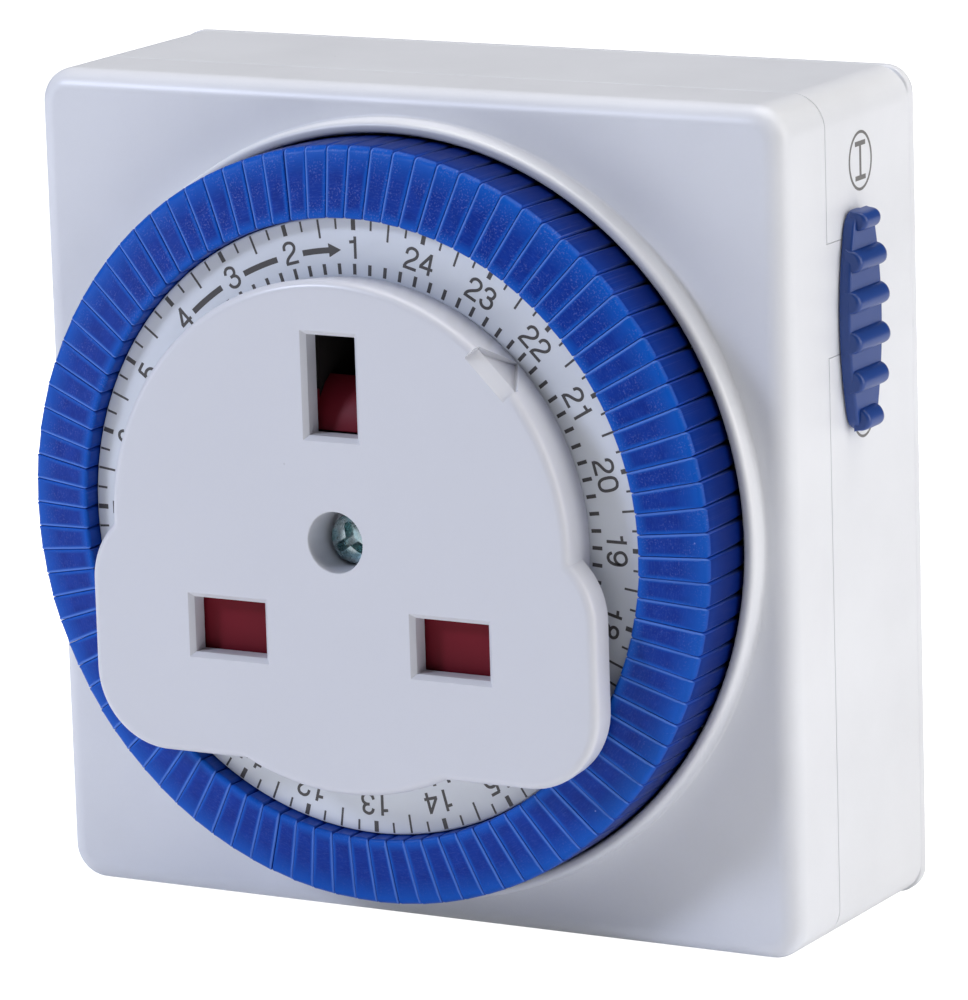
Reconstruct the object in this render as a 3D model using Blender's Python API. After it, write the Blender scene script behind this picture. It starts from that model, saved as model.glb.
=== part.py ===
"""Plug-in 24 hour segment timer socket.

Frame: +Z up, the front (socket face) looks along -Y, +X is the right-hand side seen from the front.
The origin is where the dial's axis meets the rear face, the face that rests against the wall socket.
All dimensions are in millimetres and are converted to metres once, in solid().
Unless a comment says otherwise, a turned profile is a list of (radius, y) points.
"""
import math

import bmesh
import bpy
from mathutils import Matrix, Vector

for _old in list(bpy.data.objects):
    bpy.data.objects.remove(_old)

MM = 0.001
SHARP_ANGLE = 30.0        # degrees; steeper edges are shaded sharp
FLAT_ANGLE = 0.4          # degrees; flatter edges are dissolved

# ---------------------------------------------------------------- case
BODY_HW, BODY_HH = 37.2, 37.45    # half width and half height
BODY_RC = 3.1             # corner radius of the outline
BODY_FILLET = 1.9         # rounding of the front edge
WALL = 2.3
FACE_Y = -26.1            # flat front of the case
FACE_WALL = 2.0
SEAM_Y = -17.8            # split between front and rear shell
SEAM_GAP = 0.2
REAR_WALL = 2.5
RIM_T, RIM_RC = 1.2, 2.5  # rim around the rear face: depth and corner radius

COLLAR_Y = -28.3          # top of the raised lip round the dial well
COLLAR_RI, COLLAR_RO = 33.85, 34.85
COLLAR_BACK = -22.5
COLLAR_BITE = 0.45        # how far the lip overlaps the edge of the opening

TONGUE_END_Y = -15.05     # tongue of the front shell in the right-hand wall of the rear one
TONGUE_Z = (14.65, 24.35)
TONGUE_GAP = 0.15

SCREW_X, SCREW_Z = 30.8, 31.2
BOSS_SIDES = 14

# ---------------------------------------------------------------- socket and pins
SOCKET_Y = -39.3          # socket face
PIN_PITCH = 22.23         # live/neutral spacing, and their height below earth
PIN_X = PIN_PITCH / 2
PIN_Z = -8.75             # height of live and neutral
EARTH_Z = PIN_Z + PIN_PITCH
PIN_HALF = (3.175, 1.99)          # half width and half height of a live or neutral pin
EARTH_HALF = (1.99, 3.975)
PIN_APERTURE = (8.05, 5.8)        # width and height at the face
EARTH_APERTURE = (5.65, 9.7)
BEVEL = 0.45              # lead-in round each aperture

CORE_R = 20.0
CORE_FRONT, CORE_BACK = -35.8, -17.6
COVER_TOP = 1.9           # thickness of the cover behind the socket face
SKIRT_RO, SKIRT_RI = 22.4, 20.9
SKIRT_BACK = -34.4
SKIRT_ROOT_R = 18.0
LOBE_BACK = -36.1
POINTER_ANGLE = 45.0      # degrees from +X towards +Z
SHUTTER_Y0, SHUTTER_Y1 = -37.1, -36.1

# ---------------------------------------------------------------- dial and its tabs
DIAL_Y = -34.1            # front of the dial face
DIAL_RO = 27.2
DIAL_PHASE = 75.3         # where hour 0/24 stands, degrees from +X towards +Z
DRUM_BORE = CORE_R + 0.3
DRUM_SIDES = 48
FACE_RI, FACE_BACK, FACE_BEVEL = 20.7, -33.2, 0.35

BLOCKS, TABS_PER_BLOCK = 24, 4
TAB_PITCH = 2 * math.pi / (BLOCKS * TABS_PER_BLOCK)
TAB_RI, TAB_RO = 27.5, 33.55
TAB_TOP_IN, TAB_TOP_OUT = -35.75, -34.55
TAB_REAR = -24.5
TAB_WEB = 1.2
TAB_GROOVE = 0.24
BLOCK_PIVOT_R, BLOCK_PIVOT_Y = 30.5, -30.0

# ---------------------------------------------------------------- gear train; places are (x, z)
MODULE = 0.65
DIAL_TEETH, BIG, SMALL, LAST = 84, 30, 8, 10
TIP, ROOT = 0.52, 0.82    # tooth height above and below the pitch circle
TOOTH_SHARE = 0.40        # tooth width at the pitch line, as a share of the pitch
ROOT_FACTOR, TIP_FACTOR = 1.35, 0.62      # width at root and tip against the pitch line
MOTOR = (0.0, -22.0)
MOTOR_R = 11.5
MOTOR_HOLE = 1.3          # radius of the clearance holes round the motor shaft
CAN_SIDES = 28
GEAR2_R = MODULE * (DIAL_TEETH + LAST) / 2
GEAR2_ANGLE = math.radians(219.2)
GEAR2 = (GEAR2_R * math.cos(GEAR2_ANGLE), GEAR2_R * math.sin(GEAR2_ANGLE))
GEAR1_BORE, GEAR2_BORE = 0.6, 0.9
ARBOR_PLAY = 0.1
DIAL_GEAR_PHASE, WHEEL2_PHASE, WHEEL1_PHASE = 0.0, 0.1, 0.05     # radians

# ---------------------------------------------------------------- override switch and contacts
SWITCH_Y, SWITCH_Z = -12.75, 17.4
SWITCH_HL, SWITCH_HW, SWITCH_END = 9.9, 3.25, 1.75    # half length, half width mid-way and at ends
SWITCH_END_CUT = 0.75     # extra narrowing of the very end
SWITCH_TRAVEL = 6.0
SWITCH_GAP = 0.15         # between button and case
SWITCH_TOP = 1.15
SWITCH_BEVEL = 0.2
RIDGES, RIDGE_PITCH, RIDGE_R = 6, 3.53, 0.95
RIDGE_LIFT, RIDGE_SETBACK = 0.05, 0.15

BLADE_PIVOT = (15.2, -9.2, PIN_Z)
RIVET_X, RIVET_R = 26.5, 1.3
LEVER_PIVOT = (30.6, -15.6, 3.0)
LEVER_HOLE, LEVER_PIN_R = 0.7, 0.6


# ---------------------------------------------------------------- materials
def material(name, rgb, roughness, metallic=0.0):
    mat = bpy.data.materials.new(name)
    mat.use_nodes = True
    shader = mat.node_tree.nodes["Principled BSDF"]
    shader.inputs["Base Color"].default_value = (*rgb, 1.0)
    shader.inputs["Roughness"].default_value = roughness
    shader.inputs["Metallic"].default_value = metallic
    mat.diffuse_color = (*rgb, 1.0)
    return mat


CASE_WHITE = material("case_white", rgb=(0.83, 0.84, 0.87), roughness=0.38)
COVER_WHITE = material("cover_white", rgb=(0.80, 0.81, 0.86), roughness=0.35)
SEGMENT_BLUE = material("segment_blue", rgb=(0.02, 0.09, 0.52), roughness=0.35)
SWITCH_BLUE = material("switch_blue", rgb=(0.05, 0.12, 0.42), roughness=0.4)
DIAL_WHITE = material("dial_white", rgb=(0.82, 0.85, 0.87), roughness=0.3)
DRUM_WHITE = material("drum_white", rgb=(0.80, 0.81, 0.82), roughness=0.45)
RED = material("shutter_red", rgb=(0.16, 0.012, 0.022), roughness=0.35)
BRASS = material("brass", rgb=(0.72, 0.55, 0.25), roughness=0.3, metallic=1.0)
ZINC = material("zinc_steel", rgb=(0.62, 0.66, 0.66), roughness=0.3, metallic=1.0)
SLEEVE_BLACK = material("sleeve_black", rgb=(0.02, 0.02, 0.022), roughness=0.5)
ACETAL = material("gear_acetal", rgb=(0.86, 0.84, 0.76), roughness=0.5)
CAN_METAL = material("motor_can", rgb=(0.55, 0.56, 0.58), roughness=0.35, metallic=1.0)
COPPER = material("coil_copper", rgb=(0.55, 0.22, 0.10), roughness=0.4, metallic=1.0)
SPRING = material("spring_steel", rgb=(0.5, 0.5, 0.52), roughness=0.3, metallic=1.0)
CORE_BLACK = material("core_plastic", rgb=(0.03, 0.03, 0.032), roughness=0.55)
GREY = material("lever_grey", rgb=(0.25, 0.26, 0.28), roughness=0.5)


# ---------------------------------------------------------------- outlines
def span(centre, half):
    return (centre - half, centre + half)


def circle(radius, sides, at=(0.0, 0.0), phase=0.0):
    points = []
    for i in range(sides):
        angle = phase + 2 * math.pi * i / sides
        points.append((at[0] + radius * math.cos(angle), at[1] + radius * math.sin(angle)))
    return points


def rounded(half_w, half_h, radius, steps):
    """Rectangle about the origin with rounded corners, each of the given number of steps."""
    points = []
    for sx, sz, start in ((1, 1, 0), (-1, 1, 90), (-1, -1, 180), (1, -1, 270)):
        for k in range(steps + 1):
            angle = math.radians(start + 90 * k / steps)
            points.append((sx * (half_w - radius) + radius * math.cos(angle),
                           sz * (half_h - radius) + radius * math.sin(angle)))
    return points


def at_y(outline, y):
    return [(x, y, z) for x, z in outline]


# ---------------------------------------------------------------- skins
def loft(rings):
    """Joins equal-length rings of points into a closed skin. The first and last are capped."""
    bm = bmesh.new()
    rows = [[bm.verts.new(point) for point in ring] for ring in rings]
    count = len(rows[0])
    for row, following in zip(rows, rows[1:]):
        for i in range(count):
            j = (i + 1) % count
            bm.faces.new((row[i], row[j], following[j], following[i]))
    bm.faces.new(rows[0][::-1])
    bm.faces.new(rows[-1])
    bmesh.ops.recalc_face_normals(bm, faces=bm.faces)
    return bm


def prism_xz(outline, y0, y1):
    return loft([at_y(outline, y) for y in (y0, y1)])


def prism_yz(outline, x0, x1):
    return loft([[(x, y, z) for y, z in outline] for x in (x0, x1)])


def prism_xy(outline, z0, z1):
    return loft([[(x, y, z) for x, y in outline] for z in (z0, z1)])


def box(x_span, y_span, z_span):
    (x0, x1), (z0, z1) = x_span, z_span
    return prism_xz([(x0, z0), (x1, z0), (x1, z1), (x0, z1)], *y_span)


def stepped_bar(at, half, levels):
    """Rectangular bar along Y about at = (x, z). levels: (y, growth of each half size)."""
    rings = []
    for y, grow in levels:
        rings.append([(at[0] + sx * (half[0] + grow), y, at[1] + sz * (half[1] + grow))
                      for sx, sz in ((-1, -1), (1, -1), (1, 1), (-1, 1))])
    return loft(rings)


def turned(profile, sides, at=(0.0, 0.0), phase=0.0):
    """Closed (radius, y) profile turned about the Y-parallel axis through at = (x, z).

    Points of radius 0 become poles.
    """
    bm = bmesh.new()
    rings = []
    for radius, y in profile:
        if radius < 1e-9:
            rings.append([bm.verts.new((at[0], y, at[1]))])
        else:
            points = at_y(circle(radius, sides, at, phase), y)
            rings.append([bm.verts.new(point) for point in points])
    for ring, following in zip(rings, rings[1:] + rings[:1]):
        if len(ring) == 1 and len(following) == 1:
            continue
        for i in range(sides):
            j = (i + 1) % sides
            if len(ring) == 1:
                bm.faces.new((ring[0], following[j], following[i]))
            elif len(following) == 1:
                bm.faces.new((ring[i], ring[j], following[0]))
            else:
                bm.faces.new((ring[i], ring[j], following[j], following[i]))
    bmesh.ops.recalc_face_normals(bm, faces=bm.faces)
    return bm


def cylinder(radius, y0, y1, sides, at=(0.0, 0.0), phase=0.0):
    return turned([(0, y0), (radius, y0), (radius, y1), (0, y1)], sides, at, phase)


def spun(bm, degrees):
    """The skin turned about the Y axis, +Z towards +X."""
    turn = Matrix.Rotation(math.radians(degrees), 3, "Y")
    bmesh.ops.rotate(bm, cent=(0, 0, 0), matrix=turn, verts=bm.verts)
    return bm


# ---------------------------------------------------------------- objects
def solid(name, bm, mat, pivot=(0, 0, 0)):
    """One named object whose origin stands at pivot (mm)."""
    bmesh.ops.transform(bm, matrix=Matrix.Translation(-Vector(pivot)), verts=bm.verts)
    bmesh.ops.scale(bm, vec=(MM, MM, MM), verts=bm.verts)
    mesh = bpy.data.meshes.new(name)
    bm.to_mesh(mesh)
    bm.free()
    obj = bpy.data.objects.new(name, mesh)
    obj.location = Vector(pivot) * MM
    bpy.context.scene.collection.objects.link(obj)
    if mat is not None:
        mesh.materials.append(mat)
    return obj


def discard(obj):
    mesh = obj.data
    bpy.data.objects.remove(obj)
    bpy.data.meshes.remove(mesh)


def combine(target, bm, operation):
    """Boolean of a target at the world origin or a pivot with a temporary solid, applied at once."""
    tool = solid("tool", bm, None)
    modifier = target.modifiers.new("cut", "BOOLEAN")
    modifier.operation = operation
    modifier.solver = "EXACT"
    modifier.object = tool
    bpy.context.view_layer.update()
    depsgraph = bpy.context.evaluated_depsgraph_get()
    result = bpy.data.meshes.new_from_object(target.evaluated_get(depsgraph))
    target.modifiers.remove(modifier)
    old = target.data
    target.data = result
    result.name = target.name
    bpy.data.meshes.remove(old)
    discard(tool)


def cut(target, bm):
    combine(target, bm, "DIFFERENCE")


def add(target, bm):
    combine(target, bm, "UNION")


def finish(obj):
    """Merges doubles and flat faces, splits large polygons and sets the shading."""
    bm = bmesh.new()
    bm.from_mesh(obj.data)
    bmesh.ops.remove_doubles(bm, verts=bm.verts, dist=1e-7)
    bmesh.ops.dissolve_limit(bm, angle_limit=math.radians(FLAT_ANGLE),
                             verts=bm.verts, edges=bm.edges)
    bmesh.ops.triangulate(bm, faces=[face for face in bm.faces if len(face.verts) > 4])
    bm.to_mesh(obj.data)
    bm.free()
    obj.data.shade_smooth()
    obj.data.set_sharp_from_angle(angle=math.radians(SHARP_ANGLE))
    return obj


def finished(name, bm, mat, pivot=(0, 0, 0)):
    return finish(solid(name, bm, mat, pivot))


# ---------------------------------------------------------------- case shells and screws
CASE_OUTLINE = rounded(BODY_HW, BODY_HH, BODY_RC, 5)
CAVITY_OUTLINE = rounded(BODY_HW - WALL, BODY_HH - WALL, BODY_RC - WALL + 0.3, 3)
RIGHT_WALL_CUT = (BODY_HW - WALL - 1, BODY_HW + 1)    # x span that passes through the wall
BOSS_PLACES = [(sx * SCREW_X, sz * SCREW_Z) for sx in (-1, 1) for sz in (-1, 1)]


def front_case():
    fillet_steps = 4
    rings = [at_y(CASE_OUTLINE, y) for y in (SEAM_Y - SEAM_GAP / 2, FACE_Y + BODY_FILLET)]
    for k in range(1, fillet_steps + 1):
        angle = math.radians(90 * k / fillet_steps)
        inset = BODY_FILLET * (1 - math.cos(angle))
        outline = rounded(BODY_HW - inset, BODY_HH - inset, max(BODY_RC - inset, 0.6), 5)
        rings.append(at_y(outline, FACE_Y + BODY_FILLET - BODY_FILLET * math.sin(angle)))
    case = solid("front_case", loft(rings), CASE_WHITE)
    cut(case, prism_xz(CAVITY_OUTLINE, FACE_Y + FACE_WALL, SEAM_Y + 1.0))
    cut(case, cylinder(COLLAR_RI + COLLAR_BITE, FACE_Y - 2, FACE_Y + 4, 64, phase=0.03))
    collar = [
        (COLLAR_RI, COLLAR_BACK), (COLLAR_RI, COLLAR_Y + 0.2), (COLLAR_RI + 0.3, COLLAR_Y),
        (COLLAR_RO - 0.2, COLLAR_Y + 0.3), (COLLAR_RO, COLLAR_Y + 0.9), (COLLAR_RO, COLLAR_BACK),
    ]
    add(case, turned(collar, 64))
    for place in BOSS_PLACES:
        add(case, cylinder(3.0, FACE_Y + 1.0, -9.0, BOSS_SIDES, place))
    for place in BOSS_PLACES:
        cut(case, cylinder(1.5, -21.5, -8.0, 12, place))
    # tongue on the right-hand wall, reaching back past the seam
    add(case, box((BODY_HW - WALL, BODY_HW), (SEAM_Y - 0.6, TONGUE_END_Y), TONGUE_Z))
    finish(case)


def rear_case():
    through = (-3.5, 1.0)     # y span that passes through the rear wall
    screw_hole = [(0, 1.0), (2.6, 1.0), (2.6, -5.6), (1.6, -5.6), (1.6, -9.5), (0, -9.5)]
    case = solid("rear_case", prism_xz(CASE_OUTLINE, SEAM_Y + SEAM_GAP / 2, -0.6), CASE_WHITE)
    add(case, prism_xz(rounded(BODY_HW, BODY_HH, RIM_RC, 4), -RIM_T, 0.0))
    cut(case, prism_xz(CAVITY_OUTLINE, SEAM_Y - 1.0, -REAR_WALL))
    for sx in (-1, 1):
        cut(case, box(span(sx * PIN_X, 3.3), through, span(PIN_Z, 2.12)))
    cut(case, box(span(0, 2.12), through, span(EARTH_Z, 4.1)))
    for place in BOSS_PLACES:
        add(case, cylinder(3.4, -0.8, -8.6, BOSS_SIDES, place))
        cut(case, turned(screw_hole, BOSS_SIDES, place))
    # notch for the tongue
    cut(case, box(RIGHT_WALL_CUT, (SEAM_Y - 2, TONGUE_END_Y + TONGUE_GAP),
                  (TONGUE_Z[0] - TONGUE_GAP, TONGUE_Z[1] + TONGUE_GAP)))
    # slot the switch stem slides in
    cut(case, box(RIGHT_WALL_CUT, span(SWITCH_Y, 1.4),
                  (SWITCH_Z - 2.4, SWITCH_Z + SWITCH_TRAVEL + 2.4)))
    finish(case)


def case_screws():
    """Four cross-recessed screws driven from the rear, upper pair first, left before right."""
    profile = [
        (0, -4.3), (2.1, -4.3), (2.35, -4.7), (2.35, -5.45),
        (1.3, -5.45), (1.3, -19.4), (0.5, -20.6), (0, -20.6),
    ]
    places = [(sx * SCREW_X, sz * SCREW_Z) for sz in (1, -1) for sx in (-1, 1)]
    for number, (x, z) in enumerate(places, 1):
        screw = solid("case_screw_%d" % number, turned(profile, 10, (x, z)), ZINC, (x, 0, z))
        for angle in (0, 90):
            slot = spun(box(span(0, 1.35), (-4.9, -4.0), span(0, 0.3)), angle)
            bmesh.ops.translate(slot, vec=(x, 0, z), verts=slot.verts)
            cut(screw, slot)
        finish(screw)


# ---------------------------------------------------------------- socket cover
def cover_outline(inset):
    """Round upper part concentric with the dial, two lower lobes, shallow bulge at the bottom."""
    top_steps, lobe_steps, bottom_steps = 12, 5, 6
    top_r = 22.75 - inset
    lobe_x = 25.05 - inset
    lobe_top = 1.4 - inset
    lobe_bottom = -20.45 + inset
    lobe_r = 7.0 - inset
    centre_x, centre_z = lobe_x - lobe_r, lobe_top - lobe_r
    # notch where the lobe's upper corner meets the round part
    distance = math.hypot(centre_x, centre_z)
    offset = math.acos((top_r ** 2 + distance ** 2 - lobe_r ** 2) / (2 * top_r * distance))
    notch = math.atan2(centre_z, centre_x) + offset
    lobe_start = math.atan2(top_r * math.sin(notch) - centre_z, top_r * math.cos(notch) - centre_x)
    bottom = math.asin(lobe_bottom / top_r)

    half = []     # right half, from the top round to the bottom
    for k in range(top_steps + 1):
        angle = math.pi / 2 + (notch - math.pi / 2) * k / top_steps
        half.append((top_r * math.cos(angle), top_r * math.sin(angle)))
    for k in range(1, lobe_steps + 1):
        angle = lobe_start * (1 - k / lobe_steps)
        half.append((centre_x + lobe_r * math.cos(angle), centre_z + lobe_r * math.sin(angle)))
    for k in range(lobe_steps + 1):
        angle = -math.pi / 2 * k / lobe_steps
        half.append((centre_x + lobe_r * math.cos(angle),
                     lobe_bottom + lobe_r + lobe_r * math.sin(angle)))
    for k in range(bottom_steps + 1):
        angle = bottom + (-math.pi / 2 - bottom) * k / bottom_steps
        half.append((top_r * math.cos(angle), top_r * math.sin(angle)))
    return half + [(-x, z) for x, z in reversed(half[1:-1])]


def aperture(at, size):
    levels = ((SOCKET_Y - 0.5, 0.45), (SOCKET_Y, 0.0),
              (SOCKET_Y + BEVEL, -BEVEL), (SOCKET_Y + 3.0, -BEVEL))
    return stepped_bar(at, (size[0] / 2, size[1] / 2), levels)


def socket_cover():
    # (y, inset of the outline)
    levels = ((LOBE_BACK, 0.0), (SOCKET_Y + 0.7, 0.0), (SOCKET_Y + 0.2, 0.2), (SOCKET_Y, 0.7))
    skirt = [
        (SKIRT_ROOT_R, LOBE_BACK - 1), (SKIRT_RO, LOBE_BACK - 1),
        (SKIRT_RO, SKIRT_BACK), (SKIRT_ROOT_R, SKIRT_BACK),
    ]
    screw_well = [
        (0, SOCKET_Y - 1), (2.79, SOCKET_Y - 1), (2.79, -34.6),
        (1.5, -34.6), (1.5, -33.0), (0, -33.0),
    ]
    inside = SOCKET_Y + COVER_TOP
    cover = solid("socket_cover", loft([at_y(cover_outline(inset), y) for y, inset in levels]),
                  COVER_WHITE)
    add(cover, turned(skirt, 44))
    cut(cover, cylinder(SKIRT_RI, inside, SKIRT_BACK + 1, 44, phase=0.02))
    # room for the shutter in the lobes
    cut(cover, box(span(0, 16.0), (inside, -35.9), (PIN_Z - 9.95, PIN_Z + 3.6)))
    add(cover, cylinder(4.3, SOCKET_Y + 1.0, -33.4, 20))
    cut(cover, turned(screw_well, 20))
    for sx in (-1, 1):
        cut(cover, aperture((sx * PIN_X, PIN_Z), PIN_APERTURE))
    cut(cover, aperture((0, EARTH_Z), EARTH_APERTURE))
    # time pointer: a step cut in the flank with a small raised arrow standing on it
    step = box(span(0, 3.3), (SOCKET_Y - 1, SOCKET_Y + 2.3), (21.35, 24.0))
    cut(cover, spun(step, 90 - POINTER_ANGLE))
    arrow = prism_xz([(-2.2, 21.2), (2.2, 21.2), (0.0, 23.1)], SOCKET_Y + 1.5, SKIRT_BACK - 0.2)
    add(cover, spun(arrow, 90 - POINTER_ANGLE))
    finish(cover)


def centre_screw():
    """Screw on the dial axis with a three-lobed recess."""
    profile = [
        (0, -36.4), (1.9, -36.4), (2.35, -36.0), (2.35, -34.9),
        (1.2, -34.9), (1.2, -24.6), (0.4, -23.6), (0, -23.6),
    ]
    screw = solid("centre_screw", turned(profile, 24), ZINC)
    for angle in (90, 210, 330):
        cut(screw, spun(box(span(0, 0.32), (-37.0, -35.5), (0.0, 1.5)), angle))
    finish(screw)


def socket_core():
    """Fixed core the dial turns on."""
    chamfer = 0.4
    profile = [
        (0, CORE_FRONT), (CORE_R - chamfer, CORE_FRONT), (CORE_R, CORE_FRONT + chamfer),
        (CORE_R, CORE_BACK), (0, CORE_BACK),
    ]
    ahead = CORE_FRONT - 1
    through = (ahead, CORE_BACK + 1)
    well_y = -33.1
    screw_well = [(0, ahead), (4.7, ahead), (4.7, well_y), (1.5, well_y), (1.5, -22.0), (0, -22.0)]
    core = solid("socket_core", turned(profile, 44), CORE_BLACK)
    cut(core, turned(screw_well, 24))
    for sx in (-1, 1):
        cut(core, box(span(sx * PIN_X, 3.7), through, span(PIN_Z, 3.3)))
    cut(core, box(span(0, 3.0), through, span(EARTH_Z, 4.6)))
    # recesses for the shutter's ramp and for its spring
    cut(core, box(span(0, 3.0), (ahead, -30.2), (4.2, EARTH_Z)))
    cut(core, box(span(0, 1.7), (ahead, well_y), (-17.2, -4.3)))
    finish(core)


# ---------------------------------------------------------------- shutter and its return spring
def shutter():
    thickness = (SHUTTER_Y0, SHUTTER_Y1)
    # (y, z)
    ramp = [(SHUTTER_Y0, 11.1), (SHUTTER_Y0, 11.5), (-30.6, 15.9), (-30.6, 11.1)]
    plate = box(span(0, 15.5), thickness, (PIN_Z - 3.25, PIN_Z + 3.2))
    obj = solid("shutter", plate, RED, (0, SHUTTER_Y0, PIN_Z))
    add(obj, box(span(0, 6.3), thickness, (PIN_Z, 12.6)))
    add(obj, prism_yz(ramp, -2.5, 2.5))
    # window round the centre screw, then the lug the spring pushes on
    cut(obj, box(span(0, 4.65), (SHUTTER_Y0 - 1, SHUTTER_Y1 + 0.6), (-4.65, 11.0)))
    add(obj, box(span(0, 1.3), (SHUTTER_Y1 - 0.5, -33.6), (-6.1, -5.2)))
    finish(obj)


def shutter_spring():
    """Compression spring along Z."""
    y, z0, z1 = -34.75, -16.8, -6.2
    coil_r, wire_r = 0.95, 0.17
    turns, steps_per_turn, wire_sides = 6, 8, 4
    steps = turns * steps_per_turn
    rings = []
    for i in range(steps + 1):
        t = i / steps
        angle = 2 * math.pi * turns * t
        cos_a, sin_a = math.cos(angle), math.sin(angle)
        centre = Vector((coil_r * cos_a, y + coil_r * sin_a,
                         z0 + wire_r + (z1 - z0 - 2 * wire_r) * t))
        rise = (z1 - z0) / (2 * math.pi * turns)
        along = Vector((-coil_r * sin_a, coil_r * cos_a, rise)).normalized()
        outward = Vector((cos_a, sin_a, 0))
        across = along.cross(outward)
        rings.append([tuple(centre + wire_r * (u * outward + v * across))
                      for u, v in circle(1.0, wire_sides)])
    solid("shutter_spring", loft(rings), SPRING, (0.0, y, z0))


# ---------------------------------------------------------------- socket contacts and plug pins
def pin_clip(name, x, tail_y):
    """Two-leaf brass clip with a tail running back to tail_y."""
    # (y, z - PIN_Z)
    side_view = [
        (-34.2, 2.9), (-33.2, 2.25), (-19.6, 2.25), (-19.6, -2.25), (-33.2, -2.25),
        (-34.2, -2.9), (-33.0, -2.85), (-19.0, -2.85), (-19.0, -0.4), (tail_y, -0.4),
        (tail_y, 0.4), (-19.0, 0.4), (-19.0, 2.85), (-33.0, 2.85),
    ]
    outline = [(y, z + PIN_Z) for y, z in side_view]
    finished(name, prism_yz(outline, x - 3.0, x + 3.0), BRASS)


def earth_contact():
    # (x, y)
    plan = [
        (-2.75, -29.6), (-2.15, -28.8), (-2.15, -16.1), (2.15, -16.1), (2.15, -28.8),
        (2.75, -29.6), (2.75, -15.5), (0.4, -15.5), (0.4, -5.75), (-0.4, -5.75),
        (-0.4, -15.5), (-2.75, -15.5),
    ]
    finished("earth_contact", prism_xy(plan, *span(EARTH_Z, 3.4)), BRASS)


def plug_pin(name, x):
    """Live or neutral pin, waisted for its part sleeve."""
    at = (x, PIN_Z)
    # (y, growth)
    pin = (
        (-5.4, 0.9), (-2.7, 0.9), (-2.7, 0.0), (0.2, 0.0), (0.2, -0.65),
        (9.4, -0.65), (9.4, 0.0), (16.6, 0.0), (17.7, -1.0),
    )
    finished(name, stepped_bar(at, PIN_HALF, pin), BRASS)
    sleeve = solid(name + "_sleeve", stepped_bar(at, PIN_HALF, ((0.35, 0.0), (9.25, 0.0))),
                   SLEEVE_BLACK)
    cut(sleeve, stepped_bar(at, PIN_HALF, ((-0.5, -0.5), (10.0, -0.5))))
    finish(sleeve)


def earth_pin():
    # (y, growth)
    pin = ((-5.4, 0.9), (-2.7, 0.9), (-2.7, 0.0), (21.4, 0.0), (22.7, -1.0))
    finished("earth_pin", stepped_bar((0, EARTH_Z), EARTH_HALF, pin), BRASS)


# ---------------------------------------------------------------- gearing
def circle_meet(a, radius_a, b, radius_b):
    """Point at radius_a from a and radius_b from b, anticlockwise of a-b seen from the front."""
    dx, dz = b[0] - a[0], b[1] - a[1]
    distance = math.hypot(dx, dz)
    along = (radius_a ** 2 - radius_b ** 2 + distance ** 2) / (2 * distance)
    aside = math.sqrt(radius_a ** 2 - along ** 2)
    return (a[0] + (along * dx - aside * dz) / distance,
            a[1] + (along * dz + aside * dx) / distance)


WHEEL_PINION = MODULE * (BIG + SMALL) / 2     # centre distance of a wheel and a pinion
GEAR1 = circle_meet(MOTOR, WHEEL_PINION, GEAR2, WHEEL_PINION)


def gear_outline(teeth, at, phase):
    """Straight-flanked teeth: narrow at the tip, with backlash at the pitch line."""
    radius = MODULE * teeth / 2
    pitch = 2 * math.pi / teeth
    root = TOOTH_SHARE * ROOT_FACTOR * pitch / 2
    tip = TOOTH_SHARE * TIP_FACTOR * pitch / 2
    corners = ((-root, radius - ROOT), (-tip, radius + TIP), (tip, radius + TIP),
               (root, radius - ROOT))
    points = []
    for i in range(teeth):
        middle = phase + i * pitch
        for offset, r in corners:
            points.append((at[0] + r * math.cos(middle + offset),
                           at[1] + r * math.sin(middle + offset)))
    return points


def toothed(name, parts, bore, at, mat):
    """Toothed parts on one axis, each (teeth, phase, y0, y1)."""
    front = min(part[2] for part in parts)
    back = max(part[3] for part in parts)
    skins = [prism_xz(gear_outline(teeth, at, phase), y0, y1) for teeth, phase, y0, y1 in parts]
    obj = solid(name, skins[0], mat, (at[0], (front + back) / 2, at[1]))
    for skin in skins[1:]:
        add(obj, skin)
    if bore:
        cut(obj, cylinder(bore, front - 1, back + 1, 12, at))
    return finish(obj)


def phase_for(teeth_a, phase_a, a, teeth_b, b):
    """Phase of wheel b that puts a gap of b against a tooth of a, for any phase of a."""
    line = math.atan2(b[1] - a[1], b[0] - a[0])
    pitch_a = 2 * math.pi / teeth_a
    pitch_b = 2 * math.pi / teeth_b
    # how far past a tooth of a the line of centres falls
    share = ((line - phase_a) / pitch_a) % 1.0
    # going round the other way on b, the same share of a pitch, shifted by half a tooth
    return line + math.pi + share * pitch_b + pitch_b / 2


def dial_gear_ring():
    """Toothed ring of the dial, with a slightly conical bore, as a skin in millimetres."""
    teeth = gear_outline(DIAL_TEETH, (0, 0), DIAL_GEAR_PHASE)
    ring = solid("gear_ring", prism_xz(teeth, -20.2, -17.95), DRUM_WHITE)
    bore = [(0, -21.0), (26.2, -21.0), (25.9, -17.0), (0, -17.0)]
    cut(ring, turned(bore, DRUM_SIDES, phase=0.02))
    bm = bmesh.new()
    bm.from_mesh(ring.data)
    bmesh.ops.scale(bm, vec=(1 / MM, 1 / MM, 1 / MM), verts=bm.verts)
    discard(ring)
    return bm


def dial_drum():
    profile = [
        (DRUM_BORE, -33.0), (DIAL_RO, -33.0), (DIAL_RO, -20.6), (26.3, -20.6), (26.3, -17.8),
        (25.2, -17.8), (25.2, -31.6), (21.9, -31.6), (21.9, -17.8), (DRUM_BORE, -17.8),
    ]
    drum = solid("dial_drum", turned(profile, DRUM_SIDES), DRUM_WHITE)
    add(drum, dial_gear_ring())
    finish(drum)


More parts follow.
